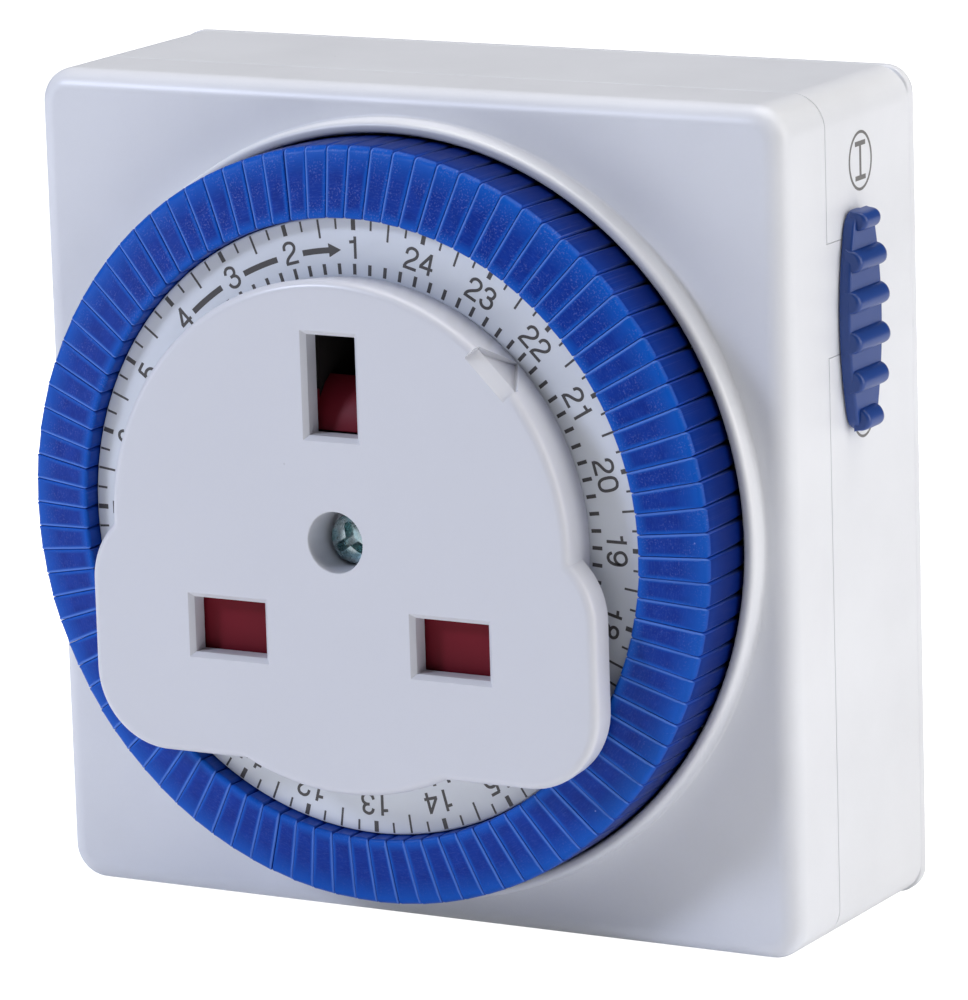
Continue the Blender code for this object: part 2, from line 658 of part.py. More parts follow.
def dial_face():
    profile = [
        (FACE_RI, DIAL_Y), (DIAL_RO - FACE_BEVEL, DIAL_Y), (DIAL_RO, DIAL_Y + FACE_BEVEL),
        (DIAL_RO, FACE_BACK), (FACE_RI, FACE_BACK),
    ]
    finished("dial_face", turned(profile, DRUM_SIDES), DIAL_WHITE)


# ---------------------------------------------------------------- hour blocks
def hour_block(middle):
    """Wedge tabs parted by radial grooves and joined by a web at their rear, one closed skin."""
    bm = bmesh.new()
    rows = []     # inner and outer row of columns; a column runs tab top, web front, rear
    for radius, top in ((TAB_RI, TAB_TOP_IN), (TAB_RO, TAB_TOP_OUT)):
        half = radius * math.tan(TAB_PITCH / 2) - TAB_GROOVE / 2
        row = []
        for k in range(TABS_PER_BLOCK):
            angle = middle + (k - (TABS_PER_BLOCK - 1) / 2) * TAB_PITCH
            cos_a, sin_a = math.cos(angle), math.sin(angle)
            for side in (-1, 1):
                x = radius * cos_a - side * half * sin_a
                z = radius * sin_a + side * half * cos_a
                row.append([bm.verts.new((x, y, z)) for y in (top, TAB_REAR - TAB_WEB, TAB_REAR)])
        rows.append(row)
    for row in rows:
        for k in range(TABS_PER_BLOCK):
            near, far = row[2 * k], row[2 * k + 1]
            bm.faces.new((near[0], far[0], far[1], far[2], near[2], near[1]))
            if k + 1 < TABS_PER_BLOCK:
                following = row[2 * k + 2]
                bm.faces.new((far[1], following[1], following[2], far[2]))
    # (column, level) round the edge of the comb shape, skinned from the inner to the outer row
    columns = range(2 * TABS_PER_BLOCK)
    edge = []
    for c in columns:
        edge += [(c, 1), (c, 0)] if c % 2 == 0 else [(c, 0), (c, 1)]
    edge += [(c, 2) for c in reversed(columns)]
    inner, outer = rows
    for (c0, l0), (c1, l1) in zip(edge, edge[1:] + edge[:1]):
        bm.faces.new((inner[c0][l0], inner[c1][l1], outer[c1][l1], outer[c0][l0]))
    bmesh.ops.recalc_face_normals(bm, faces=bm.faces)
    return bm


def hour_blocks():
    for h in range(BLOCKS):
        middle = math.radians(DIAL_PHASE) + 2 * math.pi * (h + 0.5) / BLOCKS
        pivot = (BLOCK_PIVOT_R * math.cos(middle), BLOCK_PIVOT_Y, BLOCK_PIVOT_R * math.sin(middle))
        finished("segments_hour_%02d" % (h + 1), hour_block(middle), SEGMENT_BLUE, pivot)


# ---------------------------------------------------------------- gear train, motor to dial
def gear_train():
    last_phase = phase_for(DIAL_TEETH, DIAL_GEAR_PHASE, (0, 0), LAST, GEAR2)
    small_phase = phase_for(BIG, WHEEL2_PHASE, GEAR2, SMALL, GEAR1)
    motor_phase = phase_for(BIG, WHEEL1_PHASE, GEAR1, SMALL, MOTOR)
    toothed("gear_2", [(BIG, WHEEL2_PHASE, -16.9, -15.9), (LAST, last_phase, -19.9, -16.4)],
            GEAR2_BORE, GEAR2, ACETAL)
    toothed("gear_1", [(BIG, WHEEL1_PHASE, -15.5, -14.5), (SMALL, small_phase, -17.0, -15.0)],
            GEAR1_BORE, GEAR1, ACETAL)
    pinion = toothed("motor_pinion", [(SMALL, motor_phase, -15.6, -14.3)], None, MOTOR, BRASS)
    add(pinion, cylinder(1.0, -14.6, -7.2, 12, MOTOR))
    finish(pinion)


def gear_arbors():
    arbors = ((GEAR1, GEAR1_BORE, -17.6), (GEAR2, GEAR2_BORE, -20.8))
    for number, (at, bore, front) in enumerate(arbors, 1):
        finished("gear_arbor_%d" % number, cylinder(bore - ARBOR_PLAY, front, -12.4, 12, at),
                 ZINC, (at[0], front, at[1]))


def gear_plate():
    # (x, z)
    outline = [
        (-33.9, -27.0), (-33.9, -13.2), (-20.0, -11.0), (-13.0, -13.5),
        (12.0, -13.5), (12.0, -33.6), (-20.0, -33.6), (-27.5, -27.0),
    ]
    plate = solid("gear_plate", prism_xz(outline, -13.9, -13.1), ZINC)
    for at, radius in ((GEAR1, GEAR1_BORE), (GEAR2, GEAR2_BORE), (MOTOR, MOTOR_HOLE)):
        cut(plate, cylinder(radius, -15, -12, 12, at))
    finish(plate)


def motor():
    """Synchronous gear motor: can open to the rear, coil and lid."""
    inner_r = MOTOR_R - 0.6
    can_profile = [
        (0, -12.8), (MOTOR_R - 0.5, -12.8), (MOTOR_R, -12.3), (MOTOR_R, -4.2),
        (inner_r, -4.2), (inner_r, -12.2), (0, -12.2),
    ]
    coil_profile = [
        (4.0, -11.9), (10.4, -11.9), (10.4, -11.2), (9.6, -11.2),
        (9.6, -5.6), (10.4, -5.6), (10.4, -4.9), (4.0, -4.9),
    ]
    can = solid("motor_can", turned(can_profile, CAN_SIDES, MOTOR), CAN_METAL)
    cut(can, cylinder(MOTOR_HOLE, -14, -11, 12, MOTOR))
    finish(can)
    finished("motor_coil", turned(coil_profile, 24, MOTOR), COPPER)
    finished("motor_lid", cylinder(MOTOR_R, -3.9, -3.1, CAN_SIDES, MOTOR), CAN_METAL)


# ---------------------------------------------------------------- contact set
def contact_strip(name, x_span, y_span, half_height, rivet_y, pivot=(0, 0, 0)):
    """Brass strip with a round contact near its right-hand end."""
    strip = solid(name, box(x_span, y_span, span(PIN_Z, half_height)), BRASS, pivot)
    add(strip, cylinder(RIVET_R, *rivet_y, 12, (RIVET_X, PIN_Z)))
    finish(strip)


def trip_lever():
    # (y, z)
    outline = [
        (-16.9, 4.2), (-16.9, -2.0), (-20.6, -3.6), (-21.1, -4.4), (-21.1, -5.4),
        (-20.6, -6.0), (-16.0, -6.4), (-9.8, -10.4), (-9.8, -8.2), (-14.6, -4.4),
        (-14.4, 4.2), (-15.6, 5.4), (-15.9, 19.0), (-17.1, 19.0), (-17.1, 5.0),
    ]
    axis = LEVER_PIVOT[1:]
    lever = solid("trip_lever", prism_yz(outline, 29.4, 31.8), GREY, LEVER_PIVOT)
    cut(lever, prism_yz(circle(LEVER_HOLE, 10, axis), 28.0, 33.0))
    finish(lever)
    pin = prism_yz(circle(LEVER_PIN_R, 10, axis), 28.6, 34.3)
    finished("lever_pivot_pin", pin, ZINC, LEVER_PIVOT)


# ---------------------------------------------------------------- override slide switch
def switch_half_width(t):
    """Half width of the button at t, from -1 at the lower end to 1 at the upper."""
    return SWITCH_END + (SWITCH_HW - SWITCH_END) * (1 - t * t)


def switch_ring(x, inset):
    steps = 10
    ring = []
    for side in (1, -1):
        for k in range(steps + 1):
            t = (1 - 2 * k / steps) * side
            half = switch_half_width(t) - inset
            if k in (0, steps):
                half -= SWITCH_END_CUT
            ring.append((x, SWITCH_Y + side * half, SWITCH_Z + t * (SWITCH_HL - inset)))
    return ring


def override_switch():
    """Ridged button on the right-hand side with its stem, inner plate and lug."""
    base_x = BODY_HW + SWITCH_GAP
    top_x = BODY_HW + SWITCH_TOP
    # (x, inset)
    levels = ((base_x, 0.0), (top_x - SWITCH_BEVEL, 0.0), (top_x, SWITCH_BEVEL))
    switch = solid("override_switch", loft([switch_ring(x, inset) for x, inset in levels]),
                   SWITCH_BLUE, (BODY_HW, SWITCH_Y, SWITCH_Z))
    for i in range(RIDGES):
        z = SWITCH_Z + (i - (RIDGES - 1) / 2) * RIDGE_PITCH
        half = switch_half_width((z - SWITCH_Z) / SWITCH_HL) - RIDGE_SETBACK
        ridge = circle(RIDGE_R, 12, (top_x + RIDGE_LIFT, z))
        add(switch, prism_xz(ridge, *span(SWITCH_Y, half)))
    add(switch, box((33.4, base_x + 0.5), span(SWITCH_Y, 1.1), span(SWITCH_Z, 2.0)))
    add(switch, box((33.0, 34.3), span(SWITCH_Y, 2.3), (SWITCH_Z - 7.0, SWITCH_Z + 4.6)))
    add(switch, box((30.0, 33.4), (SWITCH_Y - 2.3, SWITCH_Y - 0.8),
                    (SWITCH_Z - 6.5, SWITCH_Z - 4.5)))
    finish(switch)


# ---------------------------------------------------------------- assembly
front_case()
rear_case()
case_screws()
socket_cover()
centre_screw()
socket_core()
shutter()
shutter_spring()
pin_clip("neutral_contact", -PIN_X, tail_y=-5.75)
pin_clip("live_contact", PIN_X, tail_y=-9.4)
earth_contact()
plug_pin("live_pin", PIN_X)
plug_pin("neutral_pin", -PIN_X)
earth_pin()
dial_drum()
dial_face()
hour_blocks()
gear_train()
gear_arbors()
gear_plate()
motor()
contact_strip("fixed_contact", (8.2, 29.0), (-6.3, -5.7), 2.3, rivet_y=(-7.3, -6.0))
contact_strip("moving_contact", (14.6, 29.2), (-9.4, -9.0), 2.0, rivet_y=(-9.2, -8.6),
              pivot=BLADE_PIVOT)
trip_lever()
override_switch()
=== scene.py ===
"""Plug-in 24-hour timer with a socket in the middle of its dial.

Lengths are millimetres until a mesh is made. The front faces -Y and the case ends at y = 0
behind. Seen from the front, X runs right and Z up, and angles run anticlockwise from +X.
"""

import math
import random

import bmesh
import bpy
import numpy as np
from mathutils import Matrix, Vector


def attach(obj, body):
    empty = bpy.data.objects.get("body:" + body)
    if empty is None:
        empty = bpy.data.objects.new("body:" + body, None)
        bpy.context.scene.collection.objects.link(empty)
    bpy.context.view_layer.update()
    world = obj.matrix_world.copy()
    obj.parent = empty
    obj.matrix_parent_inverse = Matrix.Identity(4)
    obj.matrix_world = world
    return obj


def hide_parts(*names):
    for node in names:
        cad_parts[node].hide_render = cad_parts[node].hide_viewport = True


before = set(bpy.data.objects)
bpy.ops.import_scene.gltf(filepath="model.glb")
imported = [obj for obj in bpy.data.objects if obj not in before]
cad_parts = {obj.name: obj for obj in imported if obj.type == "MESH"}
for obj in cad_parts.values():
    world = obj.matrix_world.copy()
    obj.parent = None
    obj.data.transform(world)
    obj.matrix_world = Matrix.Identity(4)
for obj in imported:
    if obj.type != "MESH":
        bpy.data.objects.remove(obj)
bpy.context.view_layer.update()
rnd = random.Random(11)

MM = 0.001

# ------------------------------------------------------------------ shared sizes
HALF_W, HALF_H = 37.2, 37.45             # case, seen from the front
CORNER_R, FACE_FILLET = 3.1, 1.9
CORNER_X, CORNER_Z = HALF_W - CORNER_R, HALF_H - CORNER_R    # centres of the corner arcs
WALL, REAR_WALL = 2.3, 2.5
FACE_Y = -26.1
# the seam between the shells steps back on the right-hand side, at the switch
SEAM_FRONT, SEAM_REAR = -17.82, -17.77
STEP_FRONT, STEP_REAR = -15.02, -14.96
STEP_FRONT_Z, STEP_REAR_Z = (14.56, 24.44), (14.5, 24.5)
RIM_T, RIM_R = 1.2, 2.5                  # rim round the rear edge: thickness, corner radius
POSTS = [(sx * 30.8, sz * 31.2) for sx in (-1, 1) for sz in (-1, 1)]

SOCKET_Y = -39.3                         # front of the socket cover
PIN_PITCH = 22.23
LOWER_Z = -8.75                          # live and neutral
LOWER_X = PIN_PITCH / 2
EARTH_Z = LOWER_Z + PIN_PITCH

DIAL_Y = -34.1
PHASE = 75.3                             # angle of the dial's zero, degrees
SWITCH_Y, SWITCH_Z = -12.75, 17.4


# ------------------------------------------------------------------ shapes: (points, faces)
def tube(rings, closed=False):
    """Skin over rings of equal length: the ends are capped, or joined to each other if closed."""
    n, m = len(rings[0]), len(rings)
    faces = []
    for k in range(m if closed else m - 1):
        a, b = k * n, ((k + 1) % m) * n
        for i in range(n):
            j = (i + 1) % n
            faces.append((a + i, a + j, b + j, b + i))
    if not closed:
        faces.append(tuple(range(n))[::-1])
        faces.append(tuple((m - 1) * n + i for i in range(n)))
    return [p for ring in rings for p in ring], faces


def rectangle(x0, x1, y, z0, z1):
    return [(x0, y, z0), (x1, y, z0), (x1, y, z1), (x0, y, z1)]


def block(x0, x1, y0, y1, z0, z1):
    return tube([rectangle(x0, x1, y, z0, z1) for y in (y0, y1)])


def extruded_x(outline, x0, x1):
    """Outline of (y, z) drawn out along X."""
    return tube([[(x, y, z) for y, z in outline] for x in (x0, x1)])


def turned(profile, n, cx=0.0, cz=0.0):
    """Closed profile of (radius, y) turned about a line parallel to Y. Radius 0 makes a pole."""
    verts, rings, faces = [], [], []
    for r, y in profile:
        if r < 1e-9:
            rings.append([len(verts)])
            verts.append((cx, y, cz))
        else:
            rings.append(list(range(len(verts), len(verts) + n)))
            for i in range(n):
                a = 2 * math.pi * i / n
                verts.append((cx + r * math.cos(a), y, cz + r * math.sin(a)))
    for a, b in zip(rings, rings[1:] + rings[:1]):
        if len(a) == 1 and len(b) == 1:
            continue
        for i in range(n):
            j = (i + 1) % n
            if len(a) == 1:
                faces.append((a[0], b[j], b[i]))
            elif len(b) == 1:
                faces.append((a[i], a[j], b[0]))
            else:
                faces.append((a[i], a[j], b[j], b[i]))
    return verts, faces


def spin_y(shape, a):
    """Turns a shape about Y, from +X towards +Z."""
    c, s = math.cos(a), math.sin(a)
    return [(x * c - z * s, y, x * s + z * c) for x, y, z in shape[0]], shape[1]


def bisect(is_low, low, high, steps=40):
    """Narrows low..high round the place where is_low turns false."""
    for _ in range(steps):
        mid = (low + high) / 2
        if is_low(mid):
            low = mid
        else:
            high = mid
    return low, high


# ------------------------------------------------------------------ meshes and objects
def new_mesh(name, shape):
    me = bpy.data.meshes.new(name)
    me.from_pydata([(x * MM, y * MM, z * MM) for x, y, z in shape[0]], [], shape[1])
    return me


def new_object(name, data):
    o = bpy.data.objects.new(name, data)
    bpy.context.scene.collection.objects.link(o)
    return o


def face_outward(me, merge=False):
    bm = bmesh.new()
    bm.from_mesh(me)
    if merge:
        bmesh.ops.remove_doubles(bm, verts=bm.verts, dist=2e-7)
        bmesh.ops.dissolve_degenerate(bm, edges=bm.edges, dist=1e-7)
    bmesh.ops.recalc_face_normals(bm, faces=bm.faces)
    bm.to_mesh(me)
    bm.free()


def shade(me, angle):
    me.shade_smooth()
    me.set_sharp_from_angle(angle=math.radians(angle))


def clean(o, angle):
    """Tidies a mesh after it has been cut."""
    face_outward(o.data, merge=True)
    shade(o.data, angle)


def soften(o, width, segments=2, angle=35, first=True):
    """Bevels the sharp edges, before the other modifiers if first."""
    bevel = o.modifiers.new("soft_edges", "BEVEL")
    bevel.width, bevel.segments = width * MM, segments
    bevel.limit_method, bevel.angle_limit = "ANGLE", math.radians(angle)
    if first:
        o.modifiers.move(len(o.modifiers) - 1, 0)


def even_normals(o):
    """Weights the normals by face area."""
    m = o.modifiers.new("even_normals", "WEIGHTED_NORMAL")
    m.keep_sharp = True
    return m


class Shells:
    """Gathers several closed shells into one piece."""

    def __init__(self):
        self.verts, self.faces, self.uv, self.attrs = [], [], [], {}

    def add(self, shape, uv=(), **attrs):
        """uv: one (u, v) per point. attrs: one number per point."""
        start = len(self.verts)
        self.verts += shape[0]
        self.faces += [tuple(start + i for i in face) for face in shape[1]]
        self.uv += uv
        for key, values in attrs.items():
            self.attrs.setdefault(key, []).extend(values)
        return self

    def piece(self, name, material, angle=30.0, even=True):
        me = new_mesh(name, (self.verts, self.faces))
        me.update()
        for key, values in self.attrs.items():
            attribute = me.attributes.new(key, "FLOAT", "POINT")
            attribute.data.foreach_set("value", np.asarray(values, np.float32))
        if self.uv:
            layer = me.uv_layers.new(name="UVMap")
            index = np.zeros(len(me.loops), np.int32)
            me.loops.foreach_get("vertex_index", index)
            layer.data.foreach_set("uv", np.asarray(self.uv, np.float32)[index].ravel())
        o = new_object(name, me)
        me.materials.append(material)
        face_outward(me)
        shade(me, angle)
        if even:
            even_normals(o).weight = 60
        return o


def cut(o, shape, operation="DIFFERENCE"):
    """Applies a boolean at once, with the object's own modifiers held off meanwhile."""
    tool_mesh = new_mesh("tool", shape)
    face_outward(tool_mesh)
    tool = new_object("tool", tool_mesh)
    held = list(o.modifiers)
    for m in held:
        m.show_viewport = False
    mod = o.modifiers.new("cut", "BOOLEAN")
    mod.operation, mod.solver, mod.object = operation, "EXACT", tool
    bpy.context.view_layer.update()
    depsgraph = bpy.context.evaluated_depsgraph_get()
    new = bpy.data.meshes.new_from_object(o.evaluated_get(depsgraph))
    o.modifiers.remove(mod)
    old = o.data
    new.name = old.name
    o.data = new
    bpy.data.meshes.remove(old)
    bpy.data.objects.remove(tool)
    bpy.data.meshes.remove(tool_mesh)
    for m in held:
        m.show_viewport = True


def append_shape(me, shape):
    """Adds a shape's points and faces to a mesh as they are."""
    bm = bmesh.new()
    bm.from_mesh(me)
    verts = [bm.verts.new((x * MM, y * MM, z * MM)) for x, y, z in shape[0]]
    for face in shape[1]:
        bm.faces.new([verts[i] for i in face])
    bm.to_mesh(me)
    bm.free()


def enrol(o, rides, replaces=None):
    """Tells the frame which part the piece moves with and the CAD node it replaces."""
    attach(o, rides)
    if replaces:
        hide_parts(replaces)


# ------------------------------------------------------------------ materials
class Shader:
    """Builds the node tree of a material or world. Each method returns an output socket."""

    def __init__(self, owner, surface="Principled BSDF"):
        owner.use_nodes = True
        self.tree = owner.node_tree
        self.surface = self.tree.nodes[surface]

    def feed(self, node, inputs):
        """Links sockets to a node's inputs and sets its other values."""
        for key, value in inputs.items():
            if isinstance(value, bpy.types.NodeSocket):
                self.tree.links.new(value, node.inputs[key])
            else:
                node.inputs[key].default_value = value

    def finish(self, inputs):
        self.feed(self.surface, inputs)

    def node(self, kind, inputs, **props):
        node = self.tree.nodes.new("ShaderNode" + kind)
        for key, value in props.items():
            setattr(node, key, value)
        self.feed(node, inputs)
        return node

    def math(self, operation, a, b, clamp=False):
        return self.node("Math", {0: a, 1: b}, operation=operation, use_clamp=clamp).outputs[0]

    def times(self, a, b):
        return self.math("MULTIPLY", a, b)

    def mix(self, first, second, by):
        """Colour running from first to second as by goes from 0 to 1."""
        first, second = (v if isinstance(v, bpy.types.NodeSocket) else (*v, 1.0)
                         for v in (first, second))
        return self.node("Mix", {0: by, 6: first, 7: second}, data_type="RGBA").outputs[2]

    def ramp(self, value, span, to=(0.0, 1.0)):
        """Maps span onto to, held at its ends."""
        inputs = {0: value, 1: span[0], 2: span[1], 3: to[0], 4: to[1]}
        return self.node("MapRange", inputs, clamp=True).outputs[0]

    def coords(self, scale=(1, 1, 1), uv=False, shift=(0, 0, 0)):
        """Millimetres along the object's axes (or its u, v), stretched by scale."""
        source = self.node("TexCoord", {}).outputs["UV" if uv else "Object"]
        unit = 1.0 if uv else 1000.0
        scale = tuple(unit * s for s in scale)
        return self.node("Mapping", {"Vector": source, "Scale": scale, "Location": shift}).outputs[0]

    def noise(self, vector, scale=1.0, detail=2.0, rough=0.5):
        inputs = {"Vector": vector, "Scale": scale, "Detail": detail, "Roughness": rough}
        return self.node("TexNoise", inputs).outputs["Fac"]

    def bump(self, height, strength, depth, below=None):
        """depth in millimetres. below: the normal that this bump lies over."""
        inputs = {"Height": height, "Strength": strength, "Distance": depth * MM}
        if below is not None:
            inputs["Normal"] = below
        return self.node("Bump", inputs).outputs[0]

    def specks(self, vector, scale, fade, above):
        """Round specks that fade out over the distances fade, in cells picked above a level."""
        cells = self.node("TexVoronoi", {"Vector": vector, "Scale": scale})
        near = self.ramp(cells.outputs["Distance"], span=fade, to=(1.0, 0.0))
        red = self.node("SeparateColor", {0: cells.outputs["Color"]}).outputs[0]
        return self.times(near, self.math("GREATER_THAN", red, above))

    def attribute(self, name):
        return self.node("Attribute", {}, attribute_name=name).outputs["Fac"]


def scaled(rgb, factor):
    return tuple(min(1.0, c * factor) for c in rgb)


def plastic(name, rgb, rough, dark=None, specks=0.5, scratch=0.4, grain=0.5, specular=0.5):
    """Moulded plastic: slow colour drift, fine grain, sparse specks and faint scuffs."""
    material = bpy.data.materials.new(name)
    sh = Shader(material)
    here = sh.coords()
    drift = sh.noise(here, scale=0.06, detail=3.0)
    colour = sh.mix(dark or scaled(rgb, 0.93), rgb, by=sh.ramp(drift, span=(0.3, 0.7)))
    fine = sh.noise(here, scale=3.0, detail=4.0, rough=0.6)
    fine = sh.ramp(fine, span=(0.35, 0.65), to=(0.0, 0.06))
    colour = sh.mix(colour, scaled(rgb, 1.08), by=fine)
    gloss = sh.noise(here, scale=0.35, detail=4.0)
    roughness = sh.ramp(gloss, span=(0.2, 0.8), to=(rough * 0.95, rough * 1.07))
    pores = sh.noise(here, scale=9.0, detail=3.0, rough=0.6)
    normal = sh.bump(pores, strength=0.10 * grain, depth=0.02)
    waves = sh.noise(here, scale=0.9, detail=2.0)
    normal = sh.bump(waves, strength=0.025 * grain, depth=0.03, below=normal)
    if specks:
        spots = sh.specks(here, scale=0.22, fade=(0.012, 0.030), above=0.55)
        colour = sh.mix(colour, (0.30, 0.29, 0.30), by=sh.times(spots, 0.55 * specks))
    if scratch:
        along = sh.coords(scale=(0.10, 0.10, 4.0), shift=(3.1, 0.0, 1.7))
        line = sh.noise(along, detail=2.0)
        patch = sh.noise(sh.coords(scale=(0.12, 0.12, 0.16)), detail=1.0)
        patch = sh.ramp(patch, span=(0.52, 0.66))
        scuff = sh.times(sh.ramp(line, span=(0.67, 0.72)), patch)
        colour = sh.mix(colour, scaled(rgb, 1.14), by=sh.times(scuff, 0.35 * scratch))
        normal = sh.bump(scuff, strength=0.25 * scratch, depth=0.02, below=normal)
        roughness = sh.math("ADD", roughness, sh.times(scuff, 0.15 * scratch))
    sh.finish({"Base Color": colour, "Roughness": roughness, "Normal": normal,
               "Specular IOR Level": specular, "Coat Roughness": 0.15})
    return material


def metal(name, rgb, rough, brushed=(0.3, 6.0, 6.0), tint=None):
    """Metal with drawn lines, patches of handling wear and faint tarnish."""
    material = bpy.data.materials.new(name)
    sh = Shader(material)
    here = sh.coords()
    lines = sh.noise(sh.coords(scale=brushed), detail=3.0, rough=0.6)
    patch = sh.noise(here, scale=0.35, detail=4.0, rough=0.6)
    colour = sh.mix(scaled(rgb, 0.80), rgb, by=sh.ramp(patch, span=(0.35, 0.7)))
    if tint:
        tarnish = sh.noise(here, scale=0.9, detail=2.0)
        colour = sh.mix(colour, tint, by=sh.ramp(tarnish, span=(0.45, 0.62), to=(0.0, 0.8)))
    roughness = sh.ramp(lines, span=(0.25, 0.75), to=(rough * 0.7, rough * 1.4))
    sh.finish({"Base Color": colour, "Roughness": roughness,
               "Normal": sh.bump(lines, strength=0.12, depth=0.01), "Metallic": 1.0})
    return material


def blue_tab():
    """Blue tab plastic: lighter at the edges as a painted glow through thin plastic and painted
    highlights, a painted rim highlight on one side, painted shade deep down and on the outer end
    walls, scuffs and grit partly lightened as a painted sheen, fine lines along the tab, sparse
    specks.
    """
    material = bpy.data.materials.new("segment_blue")
    sh = Shader(material)
    uv = sh.coords(uv=True)
    edge, tone = sh.attribute("edge"), sh.attribute("tone")
    lines = sh.noise(sh.coords(scale=(9.0, 0.35, 1.0), uv=True), detail=3.0, rough=0.6)
    cloud = sh.noise(uv, scale=0.8, detail=3.0)
    colour = sh.mix((0.0020, 0.027, 0.26), (0.0030, 0.040, 0.34),
                    by=sh.ramp(cloud, span=(0.3, 0.7)))
    colour = sh.mix(colour, (0.005, 0.048, 0.34), by=sh.times(tone, 0.30))
    # painted light: lighter blue on the edge fillets and outer ends, for light through the thin
    # plastic and for highlights
    colour = sh.mix(colour, (0.005, 0.118, 0.58), by=sh.times(edge, 0.72))
    # painted highlight: a pale line along one side fillet of each tab
    colour = sh.mix(colour, (0.13, 0.27, 0.76), by=sh.times(sh.attribute("rim"), 0.70))
    # scuffs, away from the edges; their lighter colour is partly a painted sheen
    scuff = sh.noise(sh.coords(scale=(1.6, 7.0, 1.0), uv=True), detail=4.0, rough=0.75)
    worn = sh.times(sh.ramp(scuff, span=(0.50, 0.66)), sh.math("SUBTRACT", 1.0, edge, clamp=True))
    # real scuffs, lightened partly as a painted sheen
    colour = sh.mix(colour, (0.060, 0.12, 0.48), by=sh.times(worn, 0.24))
    # patches of grit and a painted sheen, stronger towards the top of the dial
    grit = sh.ramp(sh.noise(uv, scale=5.5, detail=2.0, rough=0.6), span=(0.54, 0.66))
    grit = sh.times(grit, sh.ramp(sh.noise(uv, scale=0.5, detail=2.0), span=(0.40, 0.60)))
    z = sh.node("SeparateXYZ", {0: sh.coords()}).outputs[2]
    grit = sh.times(grit, sh.ramp(z, span=(-12.0, 26.0), to=(0.35, 1.6)))
    # grit, with a painted sheen that grows towards the top
    colour = sh.mix(colour, (0.16, 0.20, 0.55), by=sh.times(grit, 0.30))
    spots = sh.specks(uv, scale=0.55, fade=(0.02, 0.05), above=0.86)
    colour = sh.mix(colour, (0.35, 0.45, 0.80), by=sh.times(spots, 0.6))
    # painted shade: darker down between the tabs and on their outer end walls
    colour = sh.mix(colour, (0.001, 0.002, 0.010), by=sh.times(sh.attribute("deep"), 0.92))
    # painted shade on the outer end walls below the top fillet
    wall = sh.attribute("wall")
    colour = sh.mix(colour, (0.001, 0.012, 0.13), by=sh.times(wall, 0.65))
    normal = sh.bump(lines, strength=0.16, depth=0.02)
    normal = sh.bump(scuff, strength=0.12, depth=0.015, below=normal)
    sh.finish({"Specular IOR Level": sh.ramp(wall, span=(0.0, 1.0), to=(0.14, 0.03)),
               "Base Color": colour, "Normal": normal,
               "Roughness": sh.ramp(scuff, span=(0.3, 0.75), to=(0.30, 0.48))})
    return material


WHITE = plastic("case_white", (0.80, 0.81, 0.84), rough=0.34, scratch=0.0, grain=0.6)
COVER = plastic("cover_white", (0.705, 0.712, 0.750), rough=0.30, dark=(0.692, 0.699, 0.738),
                scratch=0.0, grain=0.4)
DIAL = plastic("dial_white", (0.80, 0.83, 0.86), rough=0.20, specks=0.7, scratch=0.0, grain=0.25)
DRUM = plastic("drum_white", (0.55, 0.57, 0.60), rough=0.45, specks=0.4, scratch=0.2)
CORE = plastic("core_plastic", (0.030, 0.026, 0.024), rough=0.55, specks=0.0, scratch=0.0)
RED = plastic("shutter_red", (0.185, 0.012, 0.022), rough=0.42, dark=(0.15, 0.010, 0.018),
              specks=0.0, scratch=0.1, grain=0.9, specular=0.10)
BLUE = blue_tab()
SWITCH = plastic("switch_blue", (0.014, 0.056, 0.26), rough=0.36, dark=(0.011, 0.047, 0.22),
                 specks=0.2, scratch=0.3, grain=0.8)
INK = plastic("print_grey", (0.085, 0.078, 0.075), rough=0.40, dark=(0.065, 0.060, 0.058),
              specks=0.0, scratch=0.0, grain=1.2)
SIDE_INK = plastic("side_print_grey", (0.17, 0.165, 0.16), rough=0.42, dark=(0.14, 0.135, 0.13),
                   specks=0.0, scratch=0.0, grain=1.2)
BLACK = plastic("sleeve_black", (0.018, 0.018, 0.020), rough=0.45, specks=0.3, scratch=0.5)
GEAR = plastic("gear_acetal", (0.80, 0.78, 0.70), rough=0.5, specks=0.3, scratch=0.2)
GREY = plastic("lever_grey", (0.22, 0.23, 0.25), rough=0.5, specks=0.3, scratch=0.4)
BRASS = metal("brass", (0.78, 0.58, 0.27), rough=0.26)
ZINC = metal("zinc_steel", (0.50, 0.60, 0.60), rough=0.26, brushed=(3.0, 3.0, 3.0),
             tint=(0.30, 0.50, 0.52))
SPRING = metal("spring_steel", (0.55, 0.56, 0.58), rough=0.25, brushed=(5.0, 5.0, 5.0))
CAN = metal("motor_steel", (0.55, 0.56, 0.58), rough=0.38, brushed=(0.4, 0.4, 5.0))
COPPER = metal("coil_copper", (0.62, 0.27, 0.12), rough=0.35, brushed=(0.2, 9.0, 0.2))


